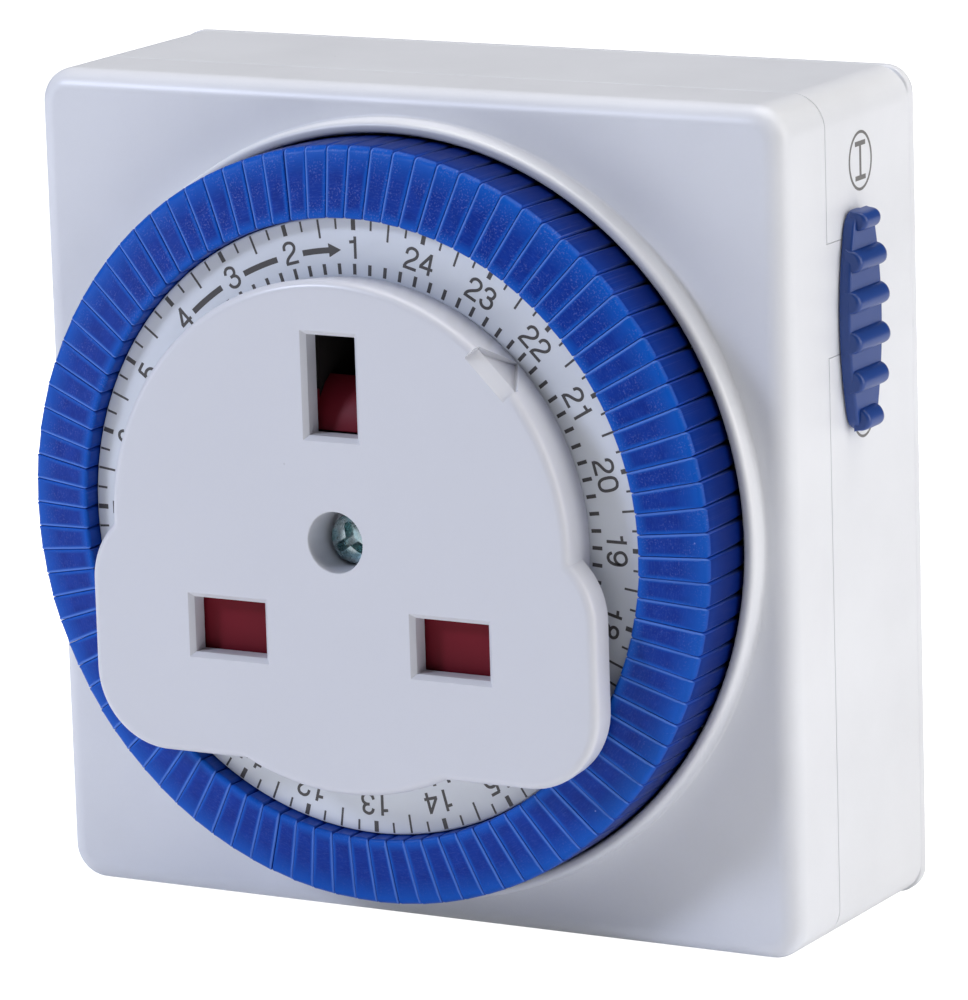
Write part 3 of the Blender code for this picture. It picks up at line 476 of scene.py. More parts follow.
# ------------------------------------------------------------------ case outline
def case_outline():
    """Points round the case as (centre x, centre z, direction x, direction z).

    The point at depth d is centre + (CORNER_R - d) * direction.
    """
    # a pair of points close about each edge of the seam's step keeps the step square
    step_z = [z + d for z in STEP_FRONT_Z + STEP_REAR_Z for d in (-0.01, 0.01)]
    span = math.atan2(CORNER_Z, HALF_W)
    even_z = [HALF_W * math.tan(span * (2 * k / 46 - 1)) for k in range(1, 46)]
    side_z = sorted([z for z in even_z if all(abs(z - s) > 0.2 for s in step_z)] + step_z)
    span = math.atan2(CORNER_X, HALF_H)
    top_x = [HALF_H * math.tan(span * (1 - 2 * k / 44)) for k in range(1, 44)]

    def corner(sx, sz, start, n=12):
        angles = [math.radians(start + 90 * k / n) for k in range(n + 1)]
        return [(sx * CORNER_X, sz * CORNER_Z, math.cos(a), math.sin(a)) for a in angles]

    return ([(CORNER_X, z, 1.0, 0.0) for z in side_z] + corner(1, 1, 0)
            + [(x, CORNER_Z, 0.0, 1.0) for x in top_x] + corner(-1, 1, 90)
            + [(-CORNER_X, z, -1.0, 0.0) for z in reversed(side_z)] + corner(-1, -1, 180)
            + [(x, -CORNER_Z, 0.0, -1.0) for x in reversed(top_x)] + corner(1, -1, 270))


OUTLINE = case_outline()


def case_ring(depth, y, corner_r=CORNER_R):
    """Ring of the case outline, depth in from the sides. y is a number, or a list for the ring."""
    ring = []
    heights = y if isinstance(y, list) else [y] * len(OUTLINE)
    for (cx, cz, ux, uz), height in zip(OUTLINE, heights):
        r = CORNER_R - depth
        if abs(cx) == CORNER_X and abs(cz) == CORNER_Z:
            cx = math.copysign(HALF_W - corner_r, cx)
            cz = math.copysign(HALF_H - corner_r, cz)
            r = corner_r - depth
        ring.append((cx + r * ux, height, cz + r * uz))
    return ring


def seam_ring(depth, seam, step, step_z, shift=0.0):
    """Ring that follows a seam and its step on the right-hand side."""
    low, high = step_z
    ys = [(step if ux > 0.99 and low < cz < high else seam) + shift for _, cz, ux, _ in OUTLINE]
    return case_ring(depth, ys)


def depth_at(x, z):
    """Distance in from the case outline."""
    qx, qz = abs(x) - CORNER_X, abs(z) - CORNER_Z
    if qx > 0 and qz > 0:
        return CORNER_R - math.hypot(qx, qz)
    return min(HALF_W - abs(x), HALF_H - abs(z))


def face_y(x, z):
    """Front surface of the case, with the fillet round its edge."""
    depth = depth_at(x, z)
    if depth >= FACE_FILLET:
        return FACE_Y
    rise = FACE_FILLET ** 2 - (FACE_FILLET - max(depth, 0.0)) ** 2
    return FACE_Y + FACE_FILLET - math.sqrt(max(rise, 0.0))


# ------------------------------------------------------------------ front shell
ANGLES = [math.atan2(z, x) for x, _, z in case_ring(0.0, 0.0)]
COLLAR_FOOT_R = 35.12
FILLET_STEPS = 12


def face_rings():
    """Rings over the fillet and across the face to the foot of the round collar."""
    sections = []
    for (x0, _, z0), a in zip(case_ring(0.0, 0.0), ANGLES):
        x1, z1 = COLLAR_FOOT_R * math.cos(a), COLLAR_FOOT_R * math.sin(a)

        def at(t):
            return x0 + (x1 - x0) * t, z0 + (z1 - z0) * t

        end = depth_at(*at(1.0))
        # where the foot lies on the fillet, the fillet's steps stop there
        arc = math.pi / 2
        if end < FACE_FILLET:
            arc = math.acos((FACE_FILLET - end) / FACE_FILLET)
        stops = []
        for k in range(1, FILLET_STEPS + 1):
            depth = FACE_FILLET * (1 - math.cos(arc * k / FILLET_STEPS))
            stops.append(bisect(lambda t: depth_at(*at(t)) < depth, 0.0, 1.0)[1])
        share = 0.12 if end > FACE_FILLET + 1.0 else 0.5
        stops += [stops[-1] + (1 - stops[-1]) * share, 1.0]
        sections.append([at(t) for t in stops])
    return [[(x, face_y(x, z), z) for x, z in ring] for ring in zip(*sections)]


def collar_ring(r, y=None, proud=0.0):
    """Circle at y, or standing proud of the face where y is not given."""
    points = [(r * math.cos(a), r * math.sin(a)) for a in ANGLES]
    return [(x, face_y(x, z) - proud if y is None else y, z) for x, z in points]


# (radius, y) over the collar round the dial, from outside to inside
COLLAR = [
    (34.84, -27.70), (34.80, -27.95), (34.70, -28.14), (34.54, -28.26), (34.36, -28.30),
    (34.10, -28.26), (33.90, -28.16), (33.78, -28.00), (33.72, -27.78), (33.70, -27.5),
    (33.72, -22.9),
]


def front_shell():
    seam = (SEAM_FRONT, STEP_FRONT, STEP_FRONT_Z)
    rings = [seam_ring(0.12, *seam), seam_ring(0.03, *seam, shift=-0.03),
             seam_ring(0.0, *seam, shift=-0.11)]
    rings += [case_ring(0.0, y) for y in (
        SEAM_FRONT - 0.5, FACE_Y + FACE_FILLET + 0.25, FACE_Y + FACE_FILLET)]
    rings += face_rings()
    rings += [collar_ring(r, proud=p) for r, p in ((35.00, 0.05), (34.92, 0.16), (34.88, 0.34))]
    rings += [collar_ring(r, y) for r, y in COLLAR]
    rings += [case_ring(2.6, -22.9), case_ring(WALL, -22.6), case_ring(WALL, SEAM_FRONT - 0.3),
              seam_ring(WALL, *seam)]
    shells = Shells().add(tube(rings, closed=True))
    post = [(1.5, -23.6), (3.0, -23.6), (3.0, -9.15), (2.85, -9.0), (1.6, -9.0), (1.5, -9.15)]
    for x, z in POSTS:
        shells.add(turned(post, 32, x, z))
    enrol(shells.piece("front_shell", WHITE, 32), "base", "front_case")


front_shell()


# ------------------------------------------------------------------ rear shell
# (depth, y, corner radius) round the rear rim, from front to rear
REAR_RIM = [
    (0.05, -RIM_T - 0.02, CORNER_R), (0.06, -RIM_T + 0.06, RIM_R), (0.0, -RIM_T + 0.16, RIM_R),
    (0.0, -0.34, RIM_R), (0.03, -0.20, RIM_R), (0.10, -0.08, RIM_R), (0.22, -0.01, RIM_R),
    (0.34, 0.0, RIM_R),
]


def rear_shell():
    seam = (SEAM_REAR, STEP_REAR, STEP_REAR_Z)
    rings = [case_ring(WALL, -REAR_WALL), case_ring(WALL, SEAM_REAR + 2.8),
             seam_ring(WALL, *seam), seam_ring(0.12, *seam), seam_ring(0.03, *seam, shift=0.03),
             seam_ring(0.0, *seam, shift=0.11), case_ring(0.0, SEAM_REAR + 2.85),
             case_ring(0.0, -RIM_T - 0.10)]
    rings += [case_ring(*station) for station in REAR_RIM]
    rear = Shells().add(tube(rings)).piece("rear_shell", WHITE, 32)
    # pin slots
    for x in (-LOWER_X, LOWER_X):
        cut(rear, block(x - 3.3, x + 3.3, -4, 1, LOWER_Z - 2.12, LOWER_Z + 2.12))
    cut(rear, block(-2.12, 2.12, -4, 1, EARTH_Z - 4.1, EARTH_Z + 4.1))
    hole = [(0, 1.0), (3.05, 1.0), (3.05, 0.3), (2.7, -0.25), (2.6, -0.45), (2.6, -4), (0, -4)]
    for x, z in POSTS:
        cut(rear, turned(hole, 48, x, z))
    # slot in the right-hand wall for the switch
    cut(rear, block(30, 40, SWITCH_Y - 1.4, SWITCH_Y + 1.4, SWITCH_Z - 2.4, SWITCH_Z + 8.4))
    post = [(3.4, -0.8), (3.4, -8.45), (3.25, -8.6), (1.7, -8.6), (1.6, -8.45), (1.6, -5.6),
            (2.6, -5.6), (2.6, -0.8)]
    posts = Shells()
    for x, z in POSTS:
        posts.add(turned(post, 48, x, z))
    append_shape(rear.data, (posts.verts, posts.faces))
    clean(rear, 32)
    enrol(rear, "base", "rear_case")


rear_shell()

# ------------------------------------------------------------------ socket cover
# a round skirt, wider in front where a rounded rectangle (the lobe) reaches past it
COVER_R, COVER_FOOT_R = 22.75, 22.24
LOBE_HALF_W, LOBE_BOTTOM, LOBE_TOP, LOBE_CORNER = 25.05, -20.45, 1.4, 7.0
SKIRT_INNER_R, LOBE_BACK, SKIRT_END = 20.9, -36.1, -34.2
COVER_EDGE_R = 0.75
COVER_INNER_Y = SOCKET_Y + 1.9
HOLE_Z, SCREW_Z = -0.2, -0.5
COVER_SAMPLES = 420
APERTURE_BEVEL = 0.42
MARK_ANGLE = 45.0                        # of the ledge and the point in the rim


def lobe_distance(x, z):
    """Signed distance out from the lobe's outline."""
    qx = abs(x) - (LOBE_HALF_W - LOBE_CORNER)
    qz = abs(z - (LOBE_BOTTOM + LOBE_TOP) / 2) - ((LOBE_TOP - LOBE_BOTTOM) / 2 - LOBE_CORNER)
    return math.hypot(max(qx, 0), max(qz, 0)) + min(max(qx, qz), 0.0) - LOBE_CORNER


def lobe_radius(a, inset=0.0):
    c, s = math.cos(a), math.sin(a)
    return bisect(lambda r: lobe_distance(r * c, r * s) + inset < 0, 0.0, 40.0, steps=46)[0]


def cover_angles():
    """Even angles, with those closest to where lobe and skirt meet replaced by the meetings."""
    step = 2 * math.pi / COVER_SAMPLES
    angles = [2 * math.pi * k / COVER_SAMPLES for k in range(COVER_SAMPLES)]
    meetings = []
    for a in angles:
        start = lobe_radius(a) > COVER_R
        if start != (lobe_radius(a + step) > COVER_R):
            ends = bisect(lambda mid: (lobe_radius(mid) > COVER_R) == start, a, a + step)
            meetings.append(sum(ends) / 2)
    return sorted([a for a in angles if all(abs(a - m) > 0.006 for m in meetings)] + meetings)


def circle(angles, r, y):
    return [(r * math.cos(a), y, r * math.sin(a)) for a in angles]


def aperture(cx, cz, width, height):
    """Cutter for a socket opening with a bevelled mouth."""
    rings = []
    for y, grow in ((-0.5, APERTURE_BEVEL * 1.1), (0.0, 0.0), (APERTURE_BEVEL, -APERTURE_BEVEL),
                    (3.0, -APERTURE_BEVEL - 0.05)):
        hw, hh = width / 2 + grow, height / 2 + grow
        rings.append(rectangle(cx - hw, cx + hw, SOCKET_Y + y, cz - hh, cz + hh))
    return tube(rings)


def socket_cover():
    angles = cover_angles()
    flank_y = SOCKET_Y + COVER_EDGE_R

    def skirt_radius(y):
        if y <= flank_y:
            return COVER_R
        return COVER_R + (COVER_FOOT_R - COVER_R) * (y - SOCKET_Y - COVER_EDGE_R) / (
            DIAL_Y - SOCKET_Y - COVER_EDGE_R)

    def lobed(y, inset=0.0, lobe_inset=0.0):
        skirt = skirt_radius(y) - inset
        ring = []
        for a in angles:
            r = max(skirt, lobe_radius(a, inset + lobe_inset))
            ring.append((r * math.cos(a), y, r * math.sin(a)))
        return ring

    rings = [lobed(SOCKET_Y, COVER_EDGE_R + 0.5)]
    for k in reversed(range(9)):
        t = math.radians(90 * k / 8)
        rings.append(lobed(SOCKET_Y + COVER_EDGE_R * (1 - math.sin(t)),
                           COVER_EDGE_R * (1 - math.cos(t))))
    rings.append(lobed(flank_y + 0.3))
    for y, inset in ((-0.30, 0.12), (-0.09, 0.2), (0.0, 0.42)):
        rings.append(lobed(LOBE_BACK + y, lobe_inset=inset))
    # behind the lobe only the skirt goes on, then turns inside
    for y, inset in ((LOBE_BACK + 0.01, 0.0), (-35.2, 0.0), (SKIRT_END - 0.12, 0.0),
                     (SKIRT_END, 0.12)):
        rings.append(circle(angles, skirt_radius(y) - inset, y))
    rings += [circle(angles, SKIRT_INNER_R, y) for y in (SKIRT_END, COVER_INNER_Y)]
    cover = Shells().add(tube(rings)).piece("cover", COVER, 28)

    # recess behind the face
    cut(cover, block(-16.0, 16.0, COVER_INNER_Y, -35.9, LOWER_Z - 9.95, LOWER_Z + 3.6))
    boss = [(0, SOCKET_Y + 1.0), (3.0, SOCKET_Y + 1.0), (3.0, -33.4), (0, -33.4)]
    cut(cover, turned(boss, 72, 0.0, HOLE_Z), operation="UNION")
    bore = [(0, SOCKET_Y - 1), (2.78, SOCKET_Y - 1), (2.78, SOCKET_Y), (2.72, SOCKET_Y + 0.05),
            (2.70, SOCKET_Y + 0.15), (2.66, -34.6), (1.5, -34.6), (1.5, -33.0), (0, -33.0)]
    cut(cover, turned(bore, 96, 0.0, HOLE_Z))
    for x in (-LOWER_X, LOWER_X):
        cut(cover, aperture(x, LOWER_Z, 8.05, 5.8))
    cut(cover, aperture(0, EARTH_Z, 5.65, 9.7))
    # a steep ledge in the rim, and behind it a shallow triangular recess pointing to the dial;
    # both are drawn at the top and turned to their angle
    turn = math.radians(MARK_ANGLE) - math.pi / 2
    ledge = [(-40.4, 20.97), (-39.3, 21.45), (-37.9, 22.35), (-37.9, 25.5), (-40.4, 25.5)]
    cut(cover, spin_y(extruded_x(ledge, -2.55, 2.55), turn))
    point = [(-2.5, -38.0), (2.5, -38.0), (0.0, -34.3)]
    wedge = tube([[(x, y, z) for x, y in point] for z in (21.95, 25.5)])
    cut(cover, spin_y(wedge, turn))
    clean(cover, 28)
    soften(cover, 0.05)
    enrol(cover, "base", "socket_cover")


socket_cover()


# ------------------------------------------------------------------ centre screw
def centre_screw():
    """Domed head with three tapering notches, and its shank."""
    profile = [
        (0, -36.66), (0.9, -36.66), (1.5, -36.60), (1.88, -36.46), (2.12, -36.24), (2.22, -36.0),
        (2.24, -35.6), (2.2, -34.9), (1.2, -34.9), (1.2, -24.6), (0.4, -23.6), (0, -23.6)]
    screw = Shells().add(turned(profile, 72)).piece("centre_screw_head", ZINC)
    for angle in (98, 214, 325):
        rings = []
        for y, k in ((-37.2, 1.12), (-36.66, 1.0), (-35.55, 0.80)):
            plan = [(-0.42, -0.1), (0.42, -0.1), (0.44, 1.25 * k), (0.32, 1.55 * k),
                    (0.0, 1.66 * k), (-0.32, 1.55 * k), (-0.44, 1.25 * k)]
            rings.append([(x * k, y, z) for x, z in plan])
        cut(screw, spin_y(tube(rings), math.radians(angle) - math.pi / 2))
    screw.data.transform(Matrix.Translation((0.0, 0.0, SCREW_Z * MM)))
    clean(screw, 30)
    soften(screw, 0.05)
    enrol(screw, "base", "centre_screw")


centre_screw()

# ------------------------------------------------------------------ 96 tabs in 24 hour blocks
TAB_INNER, TAB_OUTER = 27.5, 33.68
TAB_ANGLE = 2 * math.pi / 96
TAB_GROOVE = 0.03
# fillets round the top of a tab: sides, inner end, outer end
FILLET_SIDE, FILLET_INNER, FILLET_OUTER = 0.13, 0.42, 0.55
# side, inner and outer inset, y, painted edge light on the outer end and elsewhere; from rear to
# front
TAB_BODY = [
    (0.20, 0.3, 1.2, -24.5, 0.0, 0.0),
    (0.16, 0.2, 0.9, -26.6, 0.0, 0.0),
    (0.10, 0.05, 0.25, -27.2, 0.0, 0.0),
    (0.03, 0.0, 0.10, -28.6, 0.0, 0.0),
    (0.0, 0.0, 0.0, -31.5, 0.06, 0.06),
    (0.0, 0.0, 0.0, -33.2, 0.30, 0.12),
]
TAB_RIM = (0.0, 0.3, 0.8, 1.0, 1.0, 1.0, 0.9)     # painted rim highlight over the top fillet, on one side of each tab


def tab_top(r):
    """Sloping front of a tab."""
    return -35.75 + (r - 27.5) * (1.32 / 6.2)


def tab_plan(side, inner, outer, corner, n=6):
    """Wedge with rounded corners, as (radial, tangential, end).

    end is 1 on the outer end, -1 on the inner end and 0 on the sides.
    """
    def half(r):
        return r * math.tan(TAB_ANGLE / 2) - TAB_GROOVE / 2 - side

    points = []
    for r, end in ((TAB_OUTER - outer, 1), (TAB_INNER + inner, -1)):
        corner_r = r - end * corner
        for across in (-end, end):
            first = across == -end
            corner_t = across * (half(corner_r) - corner)
            for k in range(n + 1):
                f = k / n
                a = (math.pi / 2) * (1 - f if first else f)
                points.append((corner_r + end * corner * math.cos(a),
                               corner_t + across * corner * math.sin(a),
                               (1 - abs(math.sin(a))) * end))
            if first:
                for q in (0.33, 0.67):
                    points.append((r, across * (half(r) - corner) * (1 - 2 * q), float(end)))
    return points


def tab(middle, shift, yaw, lean, tone):
    """One tab from the rear up to its front: shape, uv and attributes."""
    rings, uv = [], []
    attrs = {key: [] for key in ("edge", "tone", "rim", "deep", "wall")}
    c, s = math.cos(middle), math.sin(middle)

    def ring(side, inner, outer, corner, edge, outer_edge=None, y=None, sag=0.0, rim=0.0):
        """At y, or a share (sag) of the fillet's size behind the front where y is not given."""
        row = []
        for r, t, end in tab_plan(side, inner, outer, corner):
            height = y
            if y is None:
                fillet = (FILLET_SIDE + (FILLET_OUTER - FILLET_SIDE) * max(end, 0.0)
                          + (FILLET_INNER - FILLET_SIDE) * max(-end, 0.0))
                height = tab_top(r) + fillet * sag
            across = t + yaw * (r - 30.5)
            row.append((r * c - across * s, height + shift + lean * t, r * s + across * c))
            uv.append((t, r))
            attrs["edge"].append(outer_edge if outer_edge is not None and end > 0.5 else edge)
            attrs["tone"].append(tone)
            # the painted rim highlight lies only on one side of the tab
            attrs["rim"].append(rim if t > 0 and abs(end) < 0.6 else 0.0)
            # painted shade, growing with depth behind the front
            attrs["deep"].append(min(max((height + 33.6) / 4.2, 0.0), 1.0))
            # the outer end wall below the fillet takes painted shade
            on_wall = end > 0.5 and height > tab_top(TAB_OUTER) + 0.42
            attrs["wall"].append(1.0 if on_wall else 0.0)
        rings.append(row)

    for side, inner, outer, y, outer_edge, edge in TAB_BODY:
        ring(side, inner, outer, 0.3, edge, outer_edge, y=y)
    for k, rim in enumerate(TAB_RIM):
        a = math.radians(90 * k / 6)
        inset = 1 - math.cos(a)
        ring(FILLET_SIDE * inset, FILLET_INNER * inset, FILLET_OUTER * inset,
             max(0.3 - 0.3 * inset * 0.8, 0.06), 0.3 + 0.7 * min(k / 3, 1.0),
             sag=1 - math.sin(a), rim=rim)
    # the painted edge light fades out over these two rings
    ring(FILLET_SIDE + 0.13, FILLET_INNER + 0.30, FILLET_OUTER + 0.75, 0.1, 0.55)
    ring(FILLET_SIDE + 0.27, FILLET_INNER + 0.70, FILLET_OUTER + 1.95, 0.1, 0.0)
    return tube(rings), uv, attrs


def web(start, end, n=11):
    """Curved bar behind the tabs of an hour, as four rows of n points."""
    verts, faces = [], []
    for r, y in ((27.9, -25.6), (32.0, -25.6), (32.0, -24.5), (27.9, -24.5)):
        for q in range(n):
            a = start + (end - start) * q / (n - 1)
            verts.append((r * math.cos(a), y, r * math.sin(a)))
    for j in range(4):
        for q in range(n - 1):
            a, b = j * n + q, ((j + 1) % 4) * n + q
            faces.append((a, a + 1, b + 1, b))
    faces += [(0, n, 2 * n, 3 * n), (n - 1, 4 * n - 1, 3 * n - 1, 2 * n - 1)]
    return verts, faces


def hour_block(hour):
    """Four tabs, each set slightly off true, and the web behind them."""
    shells = Shells()
    for k in range(4 * hour, 4 * hour + 4):
        shape, uv, attrs = tab(
            math.radians(PHASE) + TAB_ANGLE * (k + 0.5), shift=rnd.gauss(0, 0.03),
            yaw=rnd.gauss(0, 0.0012), lean=rnd.gauss(0, 0.02), tone=rnd.random())
        du, dv = rnd.random() * 60, rnd.random() * 60
        shells.add(shape, [(u + du, v + dv) for u, v in uv], **attrs)
    start = math.radians(PHASE) + TAB_ANGLE * 4 * hour + 0.004
    shape = web(start, start + TAB_ANGLE * 4 - 0.008)
    n = len(shape[0])
    zeros = [0.0] * n
    # the web behind the tabs is painted fully in shade
    shells.add(shape, [(0.0, 0.0)] * n, edge=zeros, tone=zeros, rim=zeros, deep=[1.0] * n,
               wall=zeros)
    label = "hour_%02d" % (hour + 1)
    enrol(shells.piece("tabs_" + label, BLUE, 40), label, "segments_" + label)


for hour in range(24):
    hour_block(hour)


# ------------------------------------------------------------------ dial ring
def dial_ring():
    profile = [(20.7, DIAL_Y), (24.0, DIAL_Y), (27.2, DIAL_Y), (27.36, DIAL_Y + 0.05),
               (27.42, DIAL_Y + 0.14), (27.43, DIAL_Y + 0.3), (27.43, -33.2), (20.7, -33.2)]
    ring = Shells().add(turned(profile, 240)).piece("dial_ring", DIAL)
    enrol(ring, "dial", "dial_face")


dial_ring()


# ------------------------------------------------------------------ print
class Print:
    """Flat print: closed prisms a few hundredths of a millimetre proud of a surface.

    place(u, w, height) puts a flat point at a height over the surface.
    """

    def __init__(self, place):
        self.place, self.shells, self.count = place, Shells(), 0

    def prism(self, left, right):
        """left and right are rows of flat points along a stroke."""
        # neighbours differ in height, so that overlapping strokes don't share a plane
        height = 0.012 + 0.0006 * (self.count % 9)
        self.count += 1
        m = len(left)
        verts = [self.place(*p, h) for h in (height, -0.02) for row in (left, right) for p in row]
        faces = []
        for i in range(m - 1):
            faces.append((i, i + 1, m + i + 1, m + i))
            faces.append((2 * m + i + 1, 2 * m + i, 3 * m + i, 3 * m + i + 1))
            faces.append((i, 2 * m + i, 2 * m + i + 1, i + 1))
            faces.append((m + i, m + i + 1, 3 * m + i + 1, 3 * m + i))
        faces.append((0, m, 3 * m, 2 * m))
        faces.append((m - 1, 3 * m - 1, 4 * m - 1, 2 * m - 1))
        self.shells.add((verts, faces))

    def stroke(self, points, width):
        left, right = [], []
        m = len(points)
        loop = math.dist(points[0], points[-1]) < 1e-6
        for i, (u, w) in enumerate(points):
            if loop and i in (0, m - 1):
                before, after = points[-2], points[1]
            else:
                before, after = points[max(i - 1, 0)], points[min(i + 1, m - 1)]
            length = math.dist(before, after) or 1.0
            nu, nw = -(after[1] - before[1]) / length, (after[0] - before[0]) / length
            left.append((u + nu * width / 2, w + nw * width / 2))
            right.append((u - nu * width / 2, w - nw * width / 2))
        self.prism(left, right)


def smooth_line(points, n=5):
    """Catmull-Rom curve through the points, n steps to each span."""
    out = []
    last = len(points) - 1
    for i in range(last):
        spans = list(zip(points[max(i - 1, 0)], points[i], points[i + 1],
                         points[min(i + 2, last)]))
        for k in range(n):
            t = k / n
            out.append(tuple(
                0.5 * (2 * b + (c - a) * t + (2 * a - 5 * b + 4 * c - d) * t * t
                       + (3 * b - a - 3 * c + d) * t ** 3) for a, b, c, d in spans))
    out.append(points[-1])
    return out


# strokes of each digit as (across, up) in cap heights; those of over two points are curves
GLYPHS = {
    "0": [[(0.30, 1.0), (0.14, 0.94), (0.05, 0.76), (0.03, 0.50), (0.05, 0.24), (0.14, 0.06),
           (0.30, 0.0), (0.46, 0.06), (0.55, 0.24), (0.57, 0.50), (0.55, 0.76), (0.46, 0.94),
           (0.30, 1.0)]],
    "1": [[(0.36, -0.05), (0.36, 1.05)], [(0.36, 0.80), (0.08, 0.76)]],
    "2": [[(0.04, 0.66), (0.07, 0.86), (0.19, 0.98), (0.33, 1.0), (0.48, 0.94), (0.56, 0.79),
           (0.53, 0.62), (0.42, 0.48), (0.24, 0.34), (0.10, 0.20), (0.03, 0.02)],
          [(-0.02, 0.0), (0.62, 0.0)]],
    "3": [[(0.04, 0.74), (0.09, 0.90), (0.22, 1.0), (0.36, 0.99), (0.49, 0.90), (0.52, 0.75),
           (0.46, 0.60), (0.32, 0.54), (0.22, 0.54)],
          [(0.22, 0.54), (0.38, 0.53), (0.52, 0.44), (0.57, 0.28), (0.52, 0.11), (0.38, 0.01),
           (0.22, 0.01), (0.08, 0.11), (0.02, 0.28)]],
    "4": [[(0.45, -0.05), (0.45, 1.03)], [(0.45, 0.98), (0.02, 0.30)],
          [(-0.03, 0.27), (0.62, 0.27)]],
    "5": [[(0.55, 1.0), (0.10, 1.0)], [(0.13, 1.0), (0.07, 0.50)],
          [(0.07, 0.52), (0.18, 0.62), (0.34, 0.64), (0.49, 0.56), (0.57, 0.40), (0.56, 0.22),
           (0.46, 0.06), (0.30, 0.0), (0.14, 0.05), (0.03, 0.20)]],
    "6": [[(0.54, 0.78), (0.46, 0.94), (0.32, 1.0), (0.17, 0.93), (0.07, 0.74), (0.03, 0.48),
           (0.05, 0.22), (0.15, 0.05), (0.30, 0.0), (0.46, 0.06), (0.56, 0.20), (0.57, 0.36),
           (0.50, 0.54), (0.36, 0.63), (0.21, 0.60), (0.09, 0.48), (0.04, 0.34)]],
    "7": [[(0.02, 1.0), (0.58, 1.0)],
          [(0.57, 0.98), (0.42, 0.74), (0.30, 0.46), (0.23, 0.20), (0.20, -0.04)]],
    "8": [[(0.30, 1.0), (0.15, 0.95), (0.07, 0.80), (0.11, 0.64), (0.30, 0.55), (0.49, 0.64),
           (0.53, 0.80), (0.45, 0.95), (0.30, 1.0)],
          [(0.30, 0.55), (0.12, 0.46), (0.03, 0.29), (0.09, 0.08), (0.30, 0.0), (0.51, 0.08),
           (0.57, 0.29), (0.48, 0.46), (0.30, 0.55)]],
}
GLYPHS["9"] = [[(0.60 - x, 1.0 - z) for x, z in points] for points in GLYPHS["6"]]

CAP_HEIGHT, DIGIT_SPACING, DIGIT_STROKE, NUMBER_R = 2.02, 1.56, 0.27, 24.76
TICK_OUTER = 27.26
ARROW_R, ARROW_W, ARROW_HEAD = 24.52, 0.52, 0.62


def dial_at(degrees):
    """Places print about a radius line of the dial: u clockwise along the tangent, w outward."""
    c, s = math.cos(math.radians(degrees)), math.sin(math.radians(degrees))
    return lambda u, w, h: (w * c + u * s, DIAL_Y - h, w * s - u * c)


def polar(r, degrees):
    """Flat point at an angle of the dial, for print placed by dial_at(0)."""
    a = math.radians(degrees)
    return -r * math.sin(a), r * math.cos(a)


def dial_print():
    ink = Print(None)
    for number in range(1, 25):
        ink.place = dial_at(PHASE + 15.0 * number)
        text = str(number)
        for i, digit in enumerate(text):
            cx = -DIGIT_SPACING * (len(text) - 1) / 2 + i * DIGIT_SPACING
            for points in GLYPHS[digit]:
                line = [(cx + (x - 0.30) * CAP_HEIGHT, NUMBER_R + (z - 0.5) * CAP_HEIGHT * 0.88)
                        for x, z in points]
                ink.stroke(smooth_line(line) if len(line) > 2 else line, DIGIT_STROKE)
    for quarter in range(96):
        ink.place = dial_at(PHASE + 3.75 * quarter)
        if quarter % 4 == 0:
            start, width = 26.28, 0.42
        elif quarter % 2 == 0:
            start, width = 25.60, 0.20
        else:
            start, width = 26.34, 0.19
        ink.stroke([(0, start), (0, TICK_OUTER)], width)
        ink.stroke([(0, 22.40), (0, 23.34)], 0.33)
    # clockwise arrow in three bars between the numbers
    ink.place = dial_at(0)
    for start, end in ((132.5, 123.7), (117.4, 108.7), (102.4, 96.0)):
        ink.stroke([polar(ARROW_R, start + (end - start) * k / 10) for k in range(11)], ARROW_W)
    ink.prism([polar(ARROW_R + ARROW_HEAD, 96.2), polar(ARROW_R + 0.02, 93.4)],
              [polar(ARROW_R - ARROW_HEAD, 96.2), polar(ARROW_R - 0.02, 93.4)])
    enrol(ink.shells.piece("dial_print", INK, even=False), "dial")


dial_print()

# ------------------------------------------------------------------ override switch
SLIDER_HALF_L, SLIDER_HALF_MID, SLIDER_HALF_END = 9.62, 3.25, 1.75
SLIDER_END_R = 1.3
SLIDER_TOP = HALF_W + 1.15
SLIDER_Z = SWITCH_Z - 0.25
SLIDER_EDGE = 0.24
RIB_COUNT, RIB_SPACING, RIB_R, RIB_END_R = 6, 3.5, 0.9, 0.4


def slider_half(t):
    """Half width at t, which runs from -1 to 1 along the slider."""
    return SLIDER_HALF_END + (SLIDER_HALF_MID - SLIDER_HALF_END) * (1 - abs(t) ** 2.0)


def slider_ring(x, inset, n=40):
    ring = []
    for side in (1, -1):
        for k in range(n + 1):
            t = math.cos(math.pi * k / n)
            near_end = min((1 - abs(t)) * SLIDER_HALF_L, SLIDER_END_R)
            rise = SLIDER_END_R ** 2 - (SLIDER_END_R - near_end) ** 2
            half = slider_half(t) - (SLIDER_END_R - math.sqrt(max(rise, 0.0)))
            ring.append((x, SWITCH_Y + side * max(half - inset, 0.03),
                         SLIDER_Z + side * t * (SLIDER_HALF_L - inset)))
    return ring


